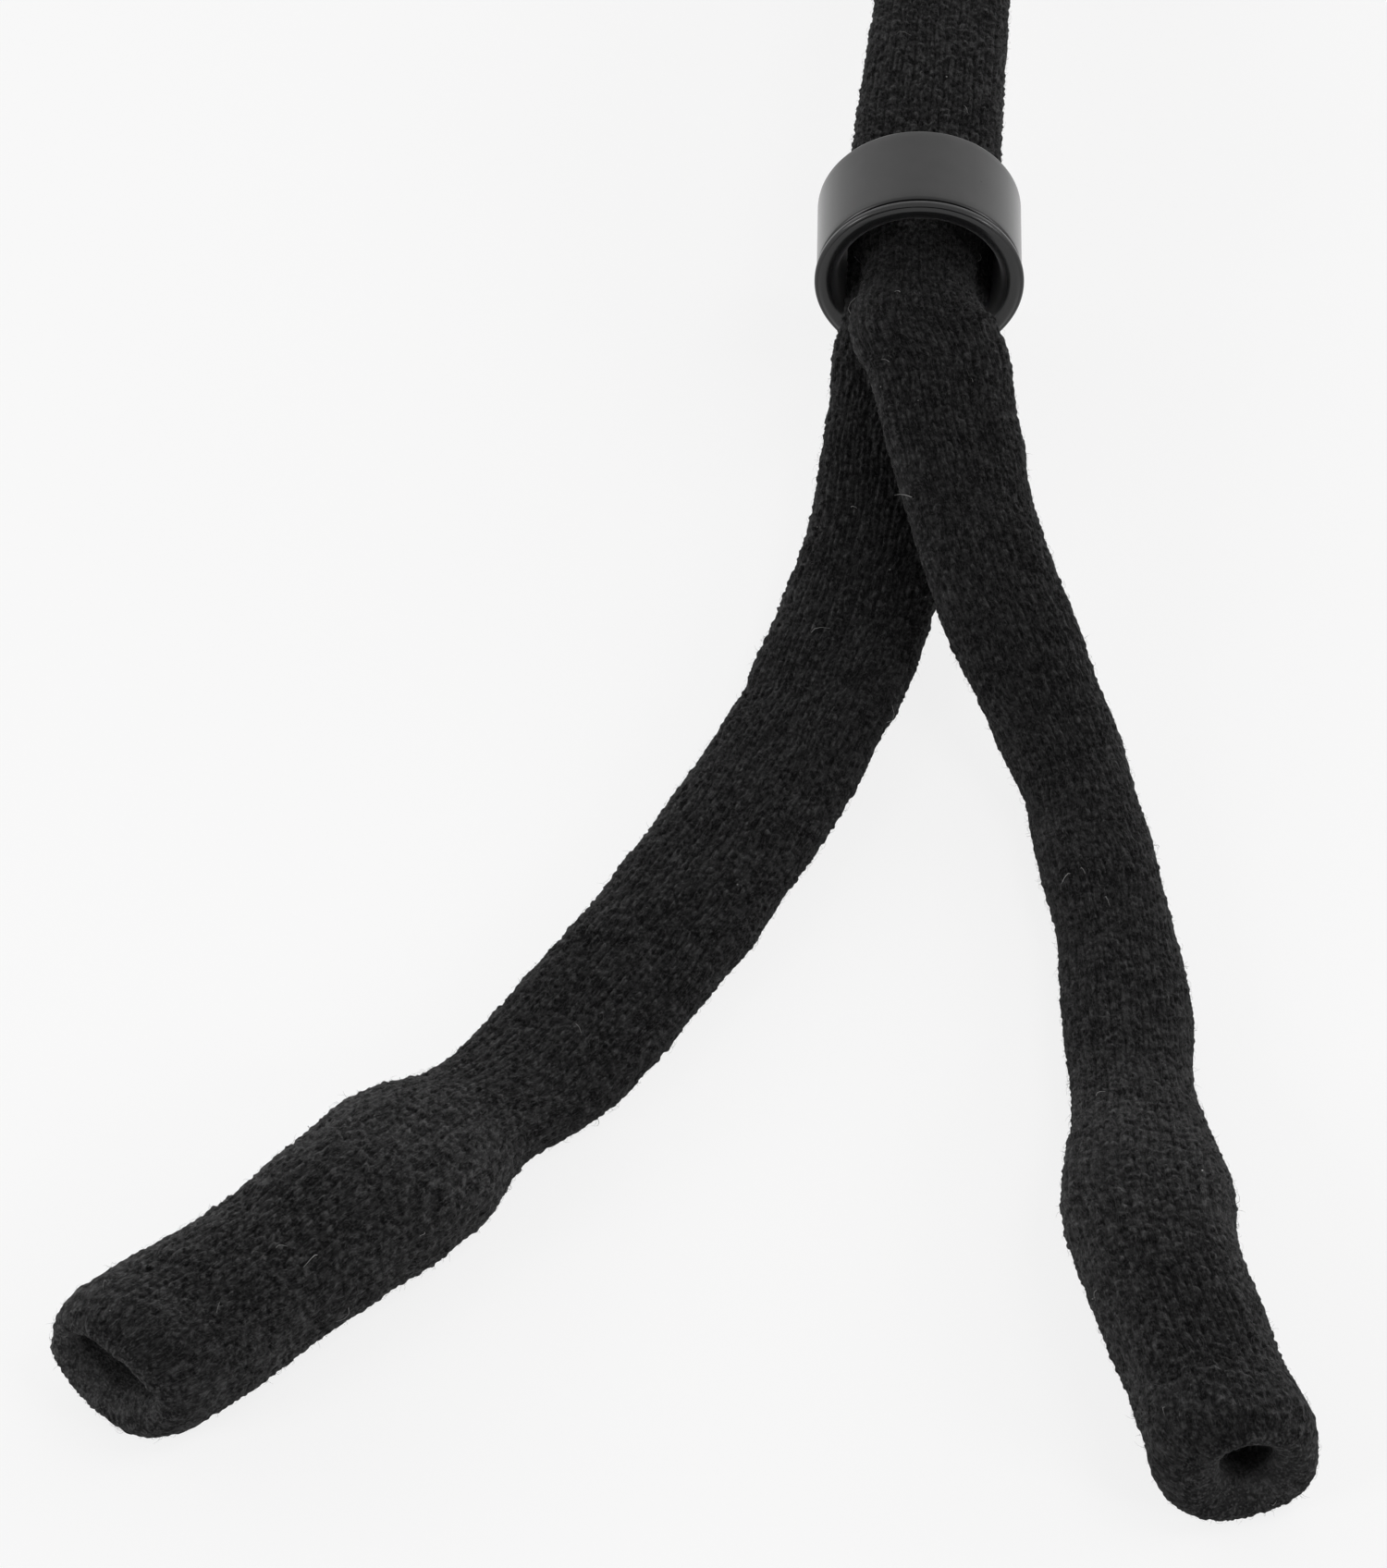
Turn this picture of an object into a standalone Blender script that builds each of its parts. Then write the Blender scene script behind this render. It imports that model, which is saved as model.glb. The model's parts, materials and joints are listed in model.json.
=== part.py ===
"""Eyeglass retainer strap: a knitted tube doubled through a sliding ring, with a socket for a spectacle
temple at each end. Metres, +Z up, lying on a table at z = 0, with the slider's travel along +Y.
"""

import math

import bmesh
import bpy
import numpy as np
from mathutils import Vector

# The knitted strap, pressed flat where it is doubled inside the slider.
STRAP_WIDTH = 0.0132
STRAP_THICKNESS = 0.0039
LAYER_GAP = 0.0003
# A rested strap is flat underneath to this depth.
FLAT_DEPTH = 0.0006

# The two free legs, past the place where they leave the slider.
LEFT_LEG_WIDTH = 0.0142
LEFT_LEG_THICKNESS = 0.0044
RIGHT_LEG_WIDTH = 0.0106
RIGHT_LEG_THICKNESS = 0.0050
LEG_EASE = 0.055

# The temple sockets, where the tube is turned in on itself.
LEFT_SOCKET_WIDTH = 0.0152
LEFT_SOCKET_THICKNESS = 0.0092
RIGHT_SOCKET_WIDTH = 0.0136
RIGHT_SOCKET_THICKNESS = 0.0100
SOCKET_WALL = 0.0020
SOCKET_DEPTH = 0.030
SHOULDER_LENGTH = 0.009
MOUTH_ROLL = 0.0019
# Share of the mouth's quarter turn that the solid follows before its flat rim.
LIP_OF_MOUTH = 0.95

# The slider: a hard band over a liner that has a lip at the front.
BORE_CLEARANCE = 0.0005
LIP_WIDTH = 0.0021
LIP_LENGTH = 0.0015
LIP_FILLET = 0.0006
LINER_WALL = 0.0007
BAND_FIT = 0.0002
BAND_WALL = 0.0010
BAND_LENGTH = 0.0093
BAND_CHAMFER = 0.0003
BAND_GROOVE = 0.0003
SLIDER_SKEW = math.radians(3.6)

# Where the strap may bend, and the room that each bend keeps.
HINGE_GAP = 0.0003
HINGE_FROM_LIP = 0.0010
HORN_SETBACK = 0.0036
SLIDER_TRAVEL = 0.040
TRAVEL_MARGIN = 0.0045

# The fold at the far end, behind the neck.
BIGHT_RADIUS = 0.0080

# How finely the soft pieces are cut into sections.
RING_POINTS = 18
ROUNDNESS = 2.7
STEP = 0.0055
KNUCKLE_RINGS = 6
KNUCKLE_TIP = math.radians(12)
MOUTH_RINGS = 4
FILLET_STEPS = 4
SLIDER_SEGMENTS = 56
SHARP_ANGLE = math.radians(40)

# Sizes that follow from those above.
SLIDER_LENGTH = LIP_LENGTH + BAND_GROOVE + BAND_LENGTH
LAYER_PITCH = STRAP_THICKNESS + LAYER_GAP
DOUBLED_RADIUS = math.hypot(STRAP_WIDTH / 2, LAYER_PITCH / 2 + STRAP_THICKNESS / 4)
LINER_BORE = 2 * (DOUBLED_RADIUS + BORE_CLEARANCE)
LIP_DIAMETER = LINER_BORE + 2 * LIP_WIDTH
SLIDER_Z = LIP_DIAMETER / 2
LOWER_RUN_Z = SLIDER_Z - LAYER_PITCH / 2
UPPER_RUN_Z = SLIDER_Z + LAYER_PITCH / 2
KNUCKLE_RADIUS = STRAP_WIDTH / 2
LEG_HINGE_Y = -(HINGE_FROM_LIP + KNUCKLE_RADIUS)
NECK_HINGE_Y = SLIDER_LENGTH + SLIDER_TRAVEL + TRAVEL_MARGIN + KNUCKLE_RADIUS

# Routes of the strap, from the slider outwards, with y = 0 at the slider's mouth.
# A leg's points are x, y, lift and stack. Lift is 1 at the slider's height and 0 on the table, and
# stack is how many layers of strap lie underneath. Each route starts on its hinge.
LEFT_LEG_ROUTE = [
    (0.0000, LEG_HINGE_Y, 1.00, 0.0),
    (-0.0004, -0.0140, 0.84, 0.0),
    (-0.0009, -0.0210, 0.60, 0.0),
    (-0.0015, -0.0280, 0.34, 0.0),
    (-0.0028, -0.0350, 0.14, 0.0),
    (-0.0046, -0.0433, 0.02, 0.0),
    (-0.0070, -0.0522, 0.00, 0.0),
    (-0.0103, -0.0614, 0.00, 0.0),
    (-0.0142, -0.0709, 0.00, 0.0),
    (-0.0185, -0.0800, 0.00, 0.0),
    (-0.0230, -0.0890, 0.00, 0.0),
    (-0.0308, -0.1009, 0.00, 0.0),
]
LEFT_SOCKET_ROUTE = [
    LEFT_LEG_ROUTE[-1],
    (-0.0350, -0.1068, 0.00, 0.0),
    (-0.0395, -0.1128, 0.00, 0.0),
    (-0.0456, -0.1202, 0.00, 0.0),
    (-0.0518, -0.1267, 0.00, 0.0),
    (-0.0580, -0.1335, 0.00, 0.0),
]
RIGHT_LEG_ROUTE = [
    (0.0000, LEG_HINGE_Y, 1.00, 1.0),
    (0.0021, -0.0130, 0.87, 1.06),
    (0.0044, -0.0197, 0.66, 1.08),
    (0.0067, -0.0281, 0.36, 1.10),
    (0.0091, -0.0360, 0.15, 1.10),
    (0.0121, -0.0430, 0.06, 0.78),
    (0.0152, -0.0498, 0.02, 0.40),
    (0.0181, -0.0570, 0.00, 0.12),
    (0.0205, -0.0655, 0.00, 0.0),
    (0.0225, -0.0742, 0.00, 0.0),
    (0.0239, -0.0830, 0.00, 0.0),
    (0.0249, -0.0912, 0.00, 0.0),
    (0.0255, -0.0975, 0.00, 0.0),
]
RIGHT_SOCKET_ROUTE = [
    RIGHT_LEG_ROUTE[-1],
    (0.0264, -0.1060, 0.00, 0.0),
    (0.0282, -0.1140, 0.00, 0.0),
    (0.0307, -0.1220, 0.00, 0.0),
    (0.0332, -0.1295, 0.00, 0.0),
    (0.0354, -0.1360, 0.00, 0.0),
]
# The neck stretch lies over the table's y axis, so its points are y, lift and stack.
NECK_UPPER_ROUTE = [
    (NECK_HINGE_Y, 1.00, 1.0),
    (0.0780, 0.90, 1.03),
    (0.0900, 0.58, 1.06),
    (0.1030, 0.20, 1.08),
    (0.1160, 0.02, 1.08),
    (0.1300, 0.00, 1.08),
    (0.1430, 0.00, 1.20),
]
NECK_LOWER_ROUTE = [
    (0.1560, 0.00, 0.0),
    (0.1430, 0.00, 0.0),
    (0.1300, 0.00, 0.0),
    (0.1160, 0.02, 0.0),
    (0.1030, 0.20, 0.0),
    (0.0900, 0.58, 0.0),
    (0.0780, 0.90, 0.0),
    (NECK_HINGE_Y, 1.00, 0.0),
]
BIGHT_Y = 0.1720
BIGHT_ANGLES = (150, 120, 90, 60, 30, 0, -30, -60, -90)

LEFT = (-1, 0, 0)
RIGHT = (1, 0, 0)
UP = (0, 0, 1)
DOWN = (0, 0, -1)

STRAP_COLOUR = (0.010, 0.010, 0.011)
BAND_COLOUR = (0.085, 0.084, 0.086)
LINER_COLOUR = (0.008, 0.008, 0.009)


def clear_scene():
    for old in list(bpy.data.objects):
        bpy.data.objects.remove(old, do_unlink=True)


def new_collection(name):
    made = bpy.data.collections.new(name)
    bpy.context.scene.collection.children.link(made)
    return made


def material(name, colour, roughness):
    """A plain dielectric with the piece's colour and gloss."""
    made = bpy.data.materials.new(name)
    made.use_nodes = True
    shader = made.node_tree.nodes["Principled BSDF"]
    shader.inputs["Base Color"].default_value = (*colour, 1)
    shader.inputs["Roughness"].default_value = roughness
    shader.inputs["Metallic"].default_value = 0
    return made


def pivot(name, place, parent=None):
    """An empty on a joint's axis, at a place in the slider's frame."""
    empty = bpy.data.objects.new(name, None)
    empty.empty_display_size = STRAP_WIDTH
    PARTS.objects.link(empty)
    empty.parent = parent
    empty.location = Vector(place) - (Vector(PLACES[parent.name]) if parent else Vector())
    PLACES[name] = place
    return empty


def add_mesh(name, bm, parent, look=None):
    """Turns a bmesh in the slider's frame into an object under its pivot. With no look it is a cutter."""
    bmesh.ops.translate(bm, verts=bm.verts, vec=-Vector(PLACES[parent.name]))
    bmesh.ops.recalc_face_normals(bm, faces=bm.faces)
    mesh = bpy.data.meshes.new(name)
    bm.to_mesh(mesh)
    bm.free()
    mesh.shade_smooth()
    mesh.set_sharp_from_angle(angle=SHARP_ANGLE)
    made = bpy.data.objects.new(name, mesh)
    made.parent = parent
    if look:
        mesh.materials.append(look)
        PARTS.objects.link(made)
    else:
        CUTTERS.objects.link(made)
        made.hide_render = True
        made.display_type = "WIRE"
    return made


def cut(piece, cutter):
    """Takes the cutter's shape out of a piece."""
    boolean = piece.modifiers.new(f"cut by {cutter.name}", "BOOLEAN")
    boolean.operation = "DIFFERENCE"
    boolean.solver = "EXACT"
    boolean.object = cutter


def smoothstep(t):
    t = np.clip(t, 0, 1)
    return t * t * (3 - 2 * t)


def smooth_curve(points, per_span=24):
    """A Catmull-Rom curve through the chosen points, with its ends carried on straight."""
    p = np.array(points, float)
    p = np.vstack([2 * p[0] - p[1], p, 2 * p[-1] - p[-2]])
    t = np.linspace(0, 1, per_span, endpoint=False)[:, None]
    spans = []
    for a, b, c, d in zip(p, p[1:], p[2:], p[3:]):
        spans.append(
            0.5 * (2 * b + (c - a) * t + (2 * a - 5 * b + 4 * c - d) * t**2 + (3 * b - a - 3 * c + d) * t**3)
        )
    return np.vstack([*spans, p[-2:-1]])


def spaced(curve, short=0):
    """Values at even steps along a curve's first two axes, stopping short of its end, and the distances."""
    along = np.r_[0, np.cumsum(np.linalg.norm(np.diff(curve[:, :2], axis=0), axis=1))]
    end = along[-1] - short
    at = np.linspace(0, end, math.ceil(end / STEP) + 1)
    return np.column_stack([np.interp(at, along, column) for column in curve.T]), at


def height(lift, stack, thickness):
    """Height of the strap's middle: lying flat, raised towards the slider's bore, or on another layer."""
    lying = thickness / 2 - FLAT_DEPTH
    raised = LOWER_RUN_Z - (STRAP_THICKNESS / 2 - FLAT_DEPTH)
    return lying + lift * raised + stack * LAYER_PITCH


def ring(centre, side, normal, width, thickness):
    """One rounded section of the strap, flat where it would reach below the table."""
    angle = np.arange(RING_POINTS) * 2 * math.pi / RING_POINTS
    across = np.sign(np.cos(angle)) * np.abs(np.cos(angle)) ** (2 / ROUNDNESS)
    up = np.sign(np.sin(angle)) * np.abs(np.sin(angle)) ** (2 / ROUNDNESS)
    points = centre + np.outer(across * width / 2, side) + np.outer(up * thickness / 2, normal)
    points[:, 2] = np.maximum(points[:, 2], 0)
    return points


def loft(rings):
    """A closed body through a row of sections."""
    bm = bmesh.new()
    rows = [[bm.verts.new(point) for point in points] for points in rings]
    for low, high in zip(rows, rows[1:]):
        for i in range(RING_POINTS):
            j = (i + 1) % RING_POINTS
            bm.faces.new((low[i], low[j], high[j], high[i]))
    bm.faces.new(rows[0])
    bm.faces.new(rows[-1])
    return bm


def sideways(centres):
    """Level side vectors and the normals over them, for a strap that runs along the centres."""
    ahead = np.gradient(centres, axis=0)
    ahead /= np.linalg.norm(ahead, axis=1)[:, None]
    side = np.cross(ahead, UP)
    side /= np.linalg.norm(side, axis=1)[:, None]
    return side, np.cross(side, ahead)


def round_end(centre, outward, side, normal, width, thickness):
    """Sections of a full-round end about a hinge at the centre, from its tip to just short of the hinge."""
    made = []
    for angle in np.linspace(KNUCKLE_TIP, math.pi / 2, KNUCKLE_RINGS, endpoint=False):
        place = centre + np.array(outward) * math.cos(angle) * width / 2
        made.append(ring(place, side, normal, width * math.sin(angle), thickness))
    return made


def hinge_cutter(name, place, radius, low, high, parent):
    """An upright cylinder that hollows the end of a stretch round its neighbour's full-round end."""
    bm = bmesh.new()
    bmesh.ops.create_cone(
        bm, cap_ends=True, segments=SLIDER_SEGMENTS, radius1=radius, radius2=radius, depth=high - low
    )
    bmesh.ops.translate(bm, verts=bm.verts, vec=(place[0], place[1], (high + low) / 2))
    return add_mesh(name, bm, parent)


def turned(name, profile, parent, look):
    """A ring turned about the slider's axis from a profile of distances behind the mouth and radii."""
    bm = bmesh.new()
    corners = [bm.verts.new((radius, 0, SLIDER_LENGTH / 2 - along)) for along, radius in profile]
    for a, b in zip(corners, corners[1:] + corners[:1]):
        bm.edges.new((a, b))
    mesh = bpy.data.meshes.new(name)
    bm.to_mesh(mesh)
    bm.free()
    mesh.materials.append(look)
    made = bpy.data.objects.new(name, mesh)
    PARTS.objects.link(made)
    screw = made.modifiers.new("turn about the slider axis", "SCREW")
    screw.axis = "Z"
    screw.steps = screw.render_steps = SLIDER_SEGMENTS
    screw.use_merge_vertices = True
    screw.merge_threshold = 0.00001
    screw.use_smooth_shade = True
    made.parent = parent
    made.rotation_euler = (math.radians(90), 0, SLIDER_SKEW)
    return made


def rounded(along, radius, towards, fillet):
    """Points of a fillet at a profile's corner, from its first side to its second."""
    first, second = towards
    made = []
    for i in range(FILLET_STEPS + 1):
        angle = math.pi / 2 * i / FILLET_STEPS
        back, out = fillet * (1 - math.sin(angle)), fillet * (1 - math.cos(angle))
        made.append((along + first[0] * back + second[0] * out, radius + first[1] * back + second[1] * out))
    return made


def build_slider(parent):
    """The hard band, and the liner whose lip it stands behind."""
    bore, lip = LINER_BORE / 2, LIP_DIAMETER / 2
    sleeve = bore + LINER_WALL
    band_in = sleeve + BAND_FIT
    band_out = band_in + BAND_WALL
    front = LIP_LENGTH + BAND_GROOVE
    fore, aft, outward, inward = (-1, 0), (1, 0), (0, 1), (0, -1)
    liner = rounded(0, bore, (aft, outward), LIP_FILLET)
    liner += rounded(0, lip, (inward, aft), LIP_FILLET)
    liner += rounded(LIP_LENGTH, lip, (fore, inward), LIP_FILLET)
    liner += [(LIP_LENGTH, sleeve), (SLIDER_LENGTH, sleeve), (SLIDER_LENGTH, bore)]
    turned("slider_liner", liner, parent, material("glossy black liner", LINER_COLOUR, 0.22))
    edge = BAND_CHAMFER
    band = [
        (front, band_in),
        (front, band_out - edge),
        (front + edge, band_out),
        (SLIDER_LENGTH - edge, band_out),
        (SLIDER_LENGTH, band_out - edge),
        (SLIDER_LENGTH, band_in),
    ]
    turned("slider_band", band, parent, material("satin grey band", BAND_COLOUR, 0.42))


def build_run(name, middle_z, parent, look):
    """One straight layer of the doubled stretch, hollowed at both ends for its neighbours' round ends."""
    rings = []
    for y in (LEG_HINGE_Y + HORN_SETBACK, NECK_HINGE_Y - HORN_SETBACK):
        rings.append(ring(np.array((0, y, middle_z)), RIGHT, UP, STRAP_WIDTH, STRAP_THICKNESS))
    made = add_mesh(name, loft(rings), parent, look)
    low, high = middle_z - STRAP_THICKNESS, middle_z + STRAP_THICKNESS
    for end, y in (("leg", LEG_HINGE_Y), ("neck", NECK_HINGE_Y)):
        radius = KNUCKLE_RADIUS + HINGE_GAP
        cut(made, hinge_cutter(f"{name}_{end}_hinge_cutter", (0, y), radius, low, high, parent))


def build_neck(parent, look):
    """The unbroken loop behind the neck: out along the upper layer, round the bight and back underneath."""
    upper = [(y, height(lift, stack, STRAP_THICKNESS)) for y, lift, stack in NECK_UPPER_ROUTE]
    lower = [(y, height(lift, stack, STRAP_THICKNESS)) for y, lift, stack in NECK_LOWER_ROUTE]
    middle = STRAP_THICKNESS / 2 - FLAT_DEPTH + BIGHT_RADIUS
    bight = []
    for degrees in BIGHT_ANGLES:
        angle = math.radians(degrees)
        bight.append((BIGHT_Y + BIGHT_RADIUS * math.cos(angle), middle + BIGHT_RADIUS * math.sin(angle)))
    values, _ = spaced(smooth_curve(upper + bight + lower))
    centres = np.column_stack([np.zeros(len(values)), values])
    ahead = np.gradient(centres, axis=0)
    ahead /= np.linalg.norm(ahead, axis=1)[:, None]
    rings = round_end(centres[0], (0, -1, 0), RIGHT, UP, STRAP_WIDTH, STRAP_THICKNESS)
    for centre, along in zip(centres, ahead):
        rings.append(ring(centre, RIGHT, np.cross(RIGHT, along), STRAP_WIDTH, STRAP_THICKNESS))
    last = round_end(centres[-1], (0, -1, 0), RIGHT, DOWN, STRAP_WIDTH, STRAP_THICKNESS)
    rings += last[::-1]
    add_mesh("neck_loop", loft(rings), parent, look)


def build_leg(name, route, width, thickness, parent, look):
    """A free leg from its hinge below the slider, down to the table and on to its socket's hinge."""
    values, at = spaced(smooth_curve(route), HORN_SETBACK)
    ease = smoothstep(at / LEG_EASE)
    widths = STRAP_WIDTH + (width - STRAP_WIDTH) * ease
    thick = STRAP_THICKNESS + (thickness - STRAP_THICKNESS) * ease
    centres = np.column_stack([values[:, :2], height(values[:, 2], values[:, 3], thick)])
    sides, normals = sideways(centres)
    rings = round_end(centres[0], (0, 1, 0), LEFT, UP, STRAP_WIDTH, STRAP_THICKNESS)
    for centre, side, normal, w, t in zip(centres, sides, normals, widths, thick):
        rings.append(ring(centre, side, normal, w, t))
    made = add_mesh(name, loft(rings), parent, look)
    radius = width / 2 + HINGE_GAP
    cutter = hinge_cutter(f"{name}_hinge_cutter", route[-1], radius, -thickness, 2 * thickness, parent)
    cut(made, cutter)


def build_socket(name, route, leg, size, parent, look):
    """A temple socket: a full-round end on the leg's hinge, a shoulder, a fat tube and a rolled mouth."""
    values, at = spaced(smooth_curve(route), MOUTH_ROLL)
    mouth = at[-1] + np.linspace(0, MOUTH_ROLL, MOUTH_RINGS + 1)[1:]
    ahead = values[-1] - values[-2]
    ahead /= np.linalg.norm(ahead[:2])
    values = np.vstack([values, values[-1] + np.outer(mouth - at[-1], ahead)])
    forward = (mouth - at[-1]) * LIP_OF_MOUTH
    turn_in = np.r_[np.zeros(len(at)), MOUTH_ROLL - np.sqrt(MOUTH_ROLL**2 - forward**2)]
    swell = smoothstep(np.r_[at, mouth] / SHOULDER_LENGTH)
    widths, thick = (a + (b - a) * swell for a, b in zip(leg, size))
    centres = np.column_stack([values[:, :2], height(0, 0, thick)])
    sides, normals = sideways(centres)
    rings = round_end(centres[0], np.cross(sides[0], UP), sides[0], UP, *leg)
    for centre, side, normal, w, t, roll in zip(centres, sides, normals, widths, thick, turn_in):
        rings.append(ring(centre, side, normal, w - 2 * roll, t - 2 * roll))
    made = add_mesh(name, loft(rings), parent, look)
    end = at[-1] + MOUTH_ROLL
    deep = np.r_[at, mouth] > end - SOCKET_DEPTH
    past_mouth = centres[-1] + MOUTH_ROLL * np.array((*ahead[:2], 0))
    inside = np.vstack([centres[deep], past_mouth])
    inside[:, 2] = height(0, 0, size[1])
    side, normal = sideways(inside)
    width, thickness = (outer - 2 * SOCKET_WALL for outer in size)
    hollow = [ring(c, s, n, width, thickness) for c, s, n in zip(inside, side, normal)]
    cut(made, add_mesh(f"{name}_hollow_cutter", loft(hollow), parent))


def centre_on_footprint(root):
    """Moves everything so that the origin is under the middle of the box round the parts."""
    bpy.context.view_layer.update()
    graph = bpy.context.evaluated_depsgraph_get()
    corners = []
    for piece in PARTS.objects:
        if piece.type == "MESH":
            seen = piece.evaluated_get(graph)
            corners += [seen.matrix_world @ Vector(corner) for corner in seen.bound_box]
    corners = np.array(corners)
    middle = (corners.min(axis=0) + corners.max(axis=0)) / 2
    root.location -= Vector((middle[0], middle[1], 0))
    bpy.context.view_layer.update()


clear_scene()
PARTS = new_collection("eyeglass_retainer_strap")
CUTTERS = new_collection("cutters")
PLACES = {}

knit = material("charcoal knit", STRAP_COLOUR, 0.95)
root = pivot("strap_frame", (0, 0, 0))
slider_pivot = pivot("slider_travel", (0, SLIDER_LENGTH / 2, SLIDER_Z), root)
left_swing = pivot("left_leg_hinge", (0, LEG_HINGE_Y, LOWER_RUN_Z), root)
right_swing = pivot("right_leg_hinge", (0, LEG_HINGE_Y, UPPER_RUN_Z), root)
neck_swing = pivot("neck_hinge", (0, NECK_HINGE_Y, SLIDER_Z), root)
left_bend = pivot("left_socket_hinge", (*LEFT_SOCKET_ROUTE[0][:2], LEFT_LEG_THICKNESS / 2), left_swing)
right_bend = pivot("right_socket_hinge", (*RIGHT_SOCKET_ROUTE[0][:2], RIGHT_LEG_THICKNESS / 2), right_swing)

build_run("upper_run", UPPER_RUN_Z, root, knit)
build_run("lower_run", LOWER_RUN_Z, root, knit)
build_neck(neck_swing, knit)
build_slider(slider_pivot)
left_leg = (LEFT_LEG_WIDTH, LEFT_LEG_THICKNESS)
right_leg = (RIGHT_LEG_WIDTH, RIGHT_LEG_THICKNESS)
build_leg("left_leg", LEFT_LEG_ROUTE, *left_leg, left_swing, knit)
build_leg("right_leg", RIGHT_LEG_ROUTE, *right_leg, right_swing, knit)
left_size = (LEFT_SOCKET_WIDTH, LEFT_SOCKET_THICKNESS)
right_size = (RIGHT_SOCKET_WIDTH, RIGHT_SOCKET_THICKNESS)
build_socket("left_temple_socket", LEFT_SOCKET_ROUTE, left_leg, left_size, left_bend, knit)
build_socket("right_temple_socket", RIGHT_SOCKET_ROUTE, right_leg, right_size, right_bend, knit)
centre_on_footprint(root)
for joint in PARTS.objects:
    if joint.type == "EMPTY":
        print(joint.name, [round(value, 6) for value in joint.matrix_world.translation])
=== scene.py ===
# %% [markdown]
# # A knitted eyeglass retainer strap
#
# The real thing is one long knitted tube, doubled through a hard slider. Each end is turned in on itself
# and makes a soft socket that grips a spectacle temple. This lesson dresses the plain solids of that strap:
# the knit is a surface worked out stitch by stitch, and the slider is turned from a finer profile.
# Everything is in metres, with +Z up from the table.

# %% Load the solids
import json
import math

import bpy
import numpy as np
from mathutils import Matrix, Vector


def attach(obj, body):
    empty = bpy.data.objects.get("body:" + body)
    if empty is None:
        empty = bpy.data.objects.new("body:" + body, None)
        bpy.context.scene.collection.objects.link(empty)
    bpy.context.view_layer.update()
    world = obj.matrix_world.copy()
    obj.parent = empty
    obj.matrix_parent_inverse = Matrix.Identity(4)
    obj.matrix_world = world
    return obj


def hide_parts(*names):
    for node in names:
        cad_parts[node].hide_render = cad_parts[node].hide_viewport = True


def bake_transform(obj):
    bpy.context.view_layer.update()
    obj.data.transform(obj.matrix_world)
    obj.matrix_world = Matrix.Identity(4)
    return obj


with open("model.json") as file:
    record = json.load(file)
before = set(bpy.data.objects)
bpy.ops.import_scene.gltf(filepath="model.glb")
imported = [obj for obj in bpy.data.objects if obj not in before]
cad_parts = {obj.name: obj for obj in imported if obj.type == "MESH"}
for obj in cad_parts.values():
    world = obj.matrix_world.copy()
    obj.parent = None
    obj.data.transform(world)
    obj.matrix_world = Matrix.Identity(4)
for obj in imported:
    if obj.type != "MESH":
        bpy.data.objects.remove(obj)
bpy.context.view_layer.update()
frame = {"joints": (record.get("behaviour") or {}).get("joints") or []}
joints = {joint["name"]: joint for joint in frame["joints"]}

# %% [markdown]
# ## Where things are
#
# Every place on the strap is given from the middle of the slider's mouth, because that is how the strap
# was measured. The hinge of the left leg lies a known distance in front of the mouth, so the mouth's place
# comes from the loaded joints.

# %% The slider's mouth
HINGE_BEHIND_MOUTH = -0.0076
NECK_HINGE_Y = 0.0622
hinge = Vector(joints["left_leg_swing"]["pos_m"])
MOUTH = np.array((hinge.x, hinge.y - HINGE_BEHIND_MOUTH, 0.0))
print("slider mouth", MOUTH.round(5).tolist())

# %% [markdown]
# ## The camera
#
# The photograph looks down at the strap from about 46 degrees, a little from the right, with a long lens.
# The focal length follows from how many pixels a metre takes at the aim, so it is measured, not guessed.

# %% The camera
IMAGE_HEIGHT = 1696
PIXELS_PER_METRE = 12087
CAMERA_DISTANCE = 0.600
CAMERA_ELEVATION = math.radians(46)
CAMERA_AZIMUTH = math.radians(5)
AIM = MOUTH + (-0.01597, -0.05737, 0.0)


def placed(name, data):
    """A new object in the scene, at the origin."""
    made = bpy.data.objects.new(name, data)
    bpy.context.scene.collection.objects.link(made)
    return made


back = Vector((
    math.sin(CAMERA_AZIMUTH) * math.cos(CAMERA_ELEVATION),
    -math.cos(CAMERA_AZIMUTH) * math.cos(CAMERA_ELEVATION),
    math.sin(CAMERA_ELEVATION),
))
camera = placed("camera", bpy.data.cameras.new("camera"))
camera.location = Vector(AIM) + back * CAMERA_DISTANCE
camera.rotation_euler = (-back).to_track_quat("-Z", "Y").to_euler()
camera.data.lens = camera.data.sensor_width * PIXELS_PER_METRE * CAMERA_DISTANCE / IMAGE_HEIGHT
bpy.context.scene.camera = camera
bpy.context.scene.view_settings.view_transform = "Standard"
print("camera", np.round(camera.location, 4).tolist(), "lens", round(camera.data.lens, 2), "mm")

# %% [markdown]
# ## The strap's route
#
# The strap is limp, so its route is a list of points along the way that it lies: from the slider down to
# each mouth, and out to the fold behind the neck. Each point of a leg also has its two edges and its
# thickness, because the knit swells, narrows and pinches. Lift is 1 at the slider's height and 0 on the
# table, and stack counts the layers of strap underneath.

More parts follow.
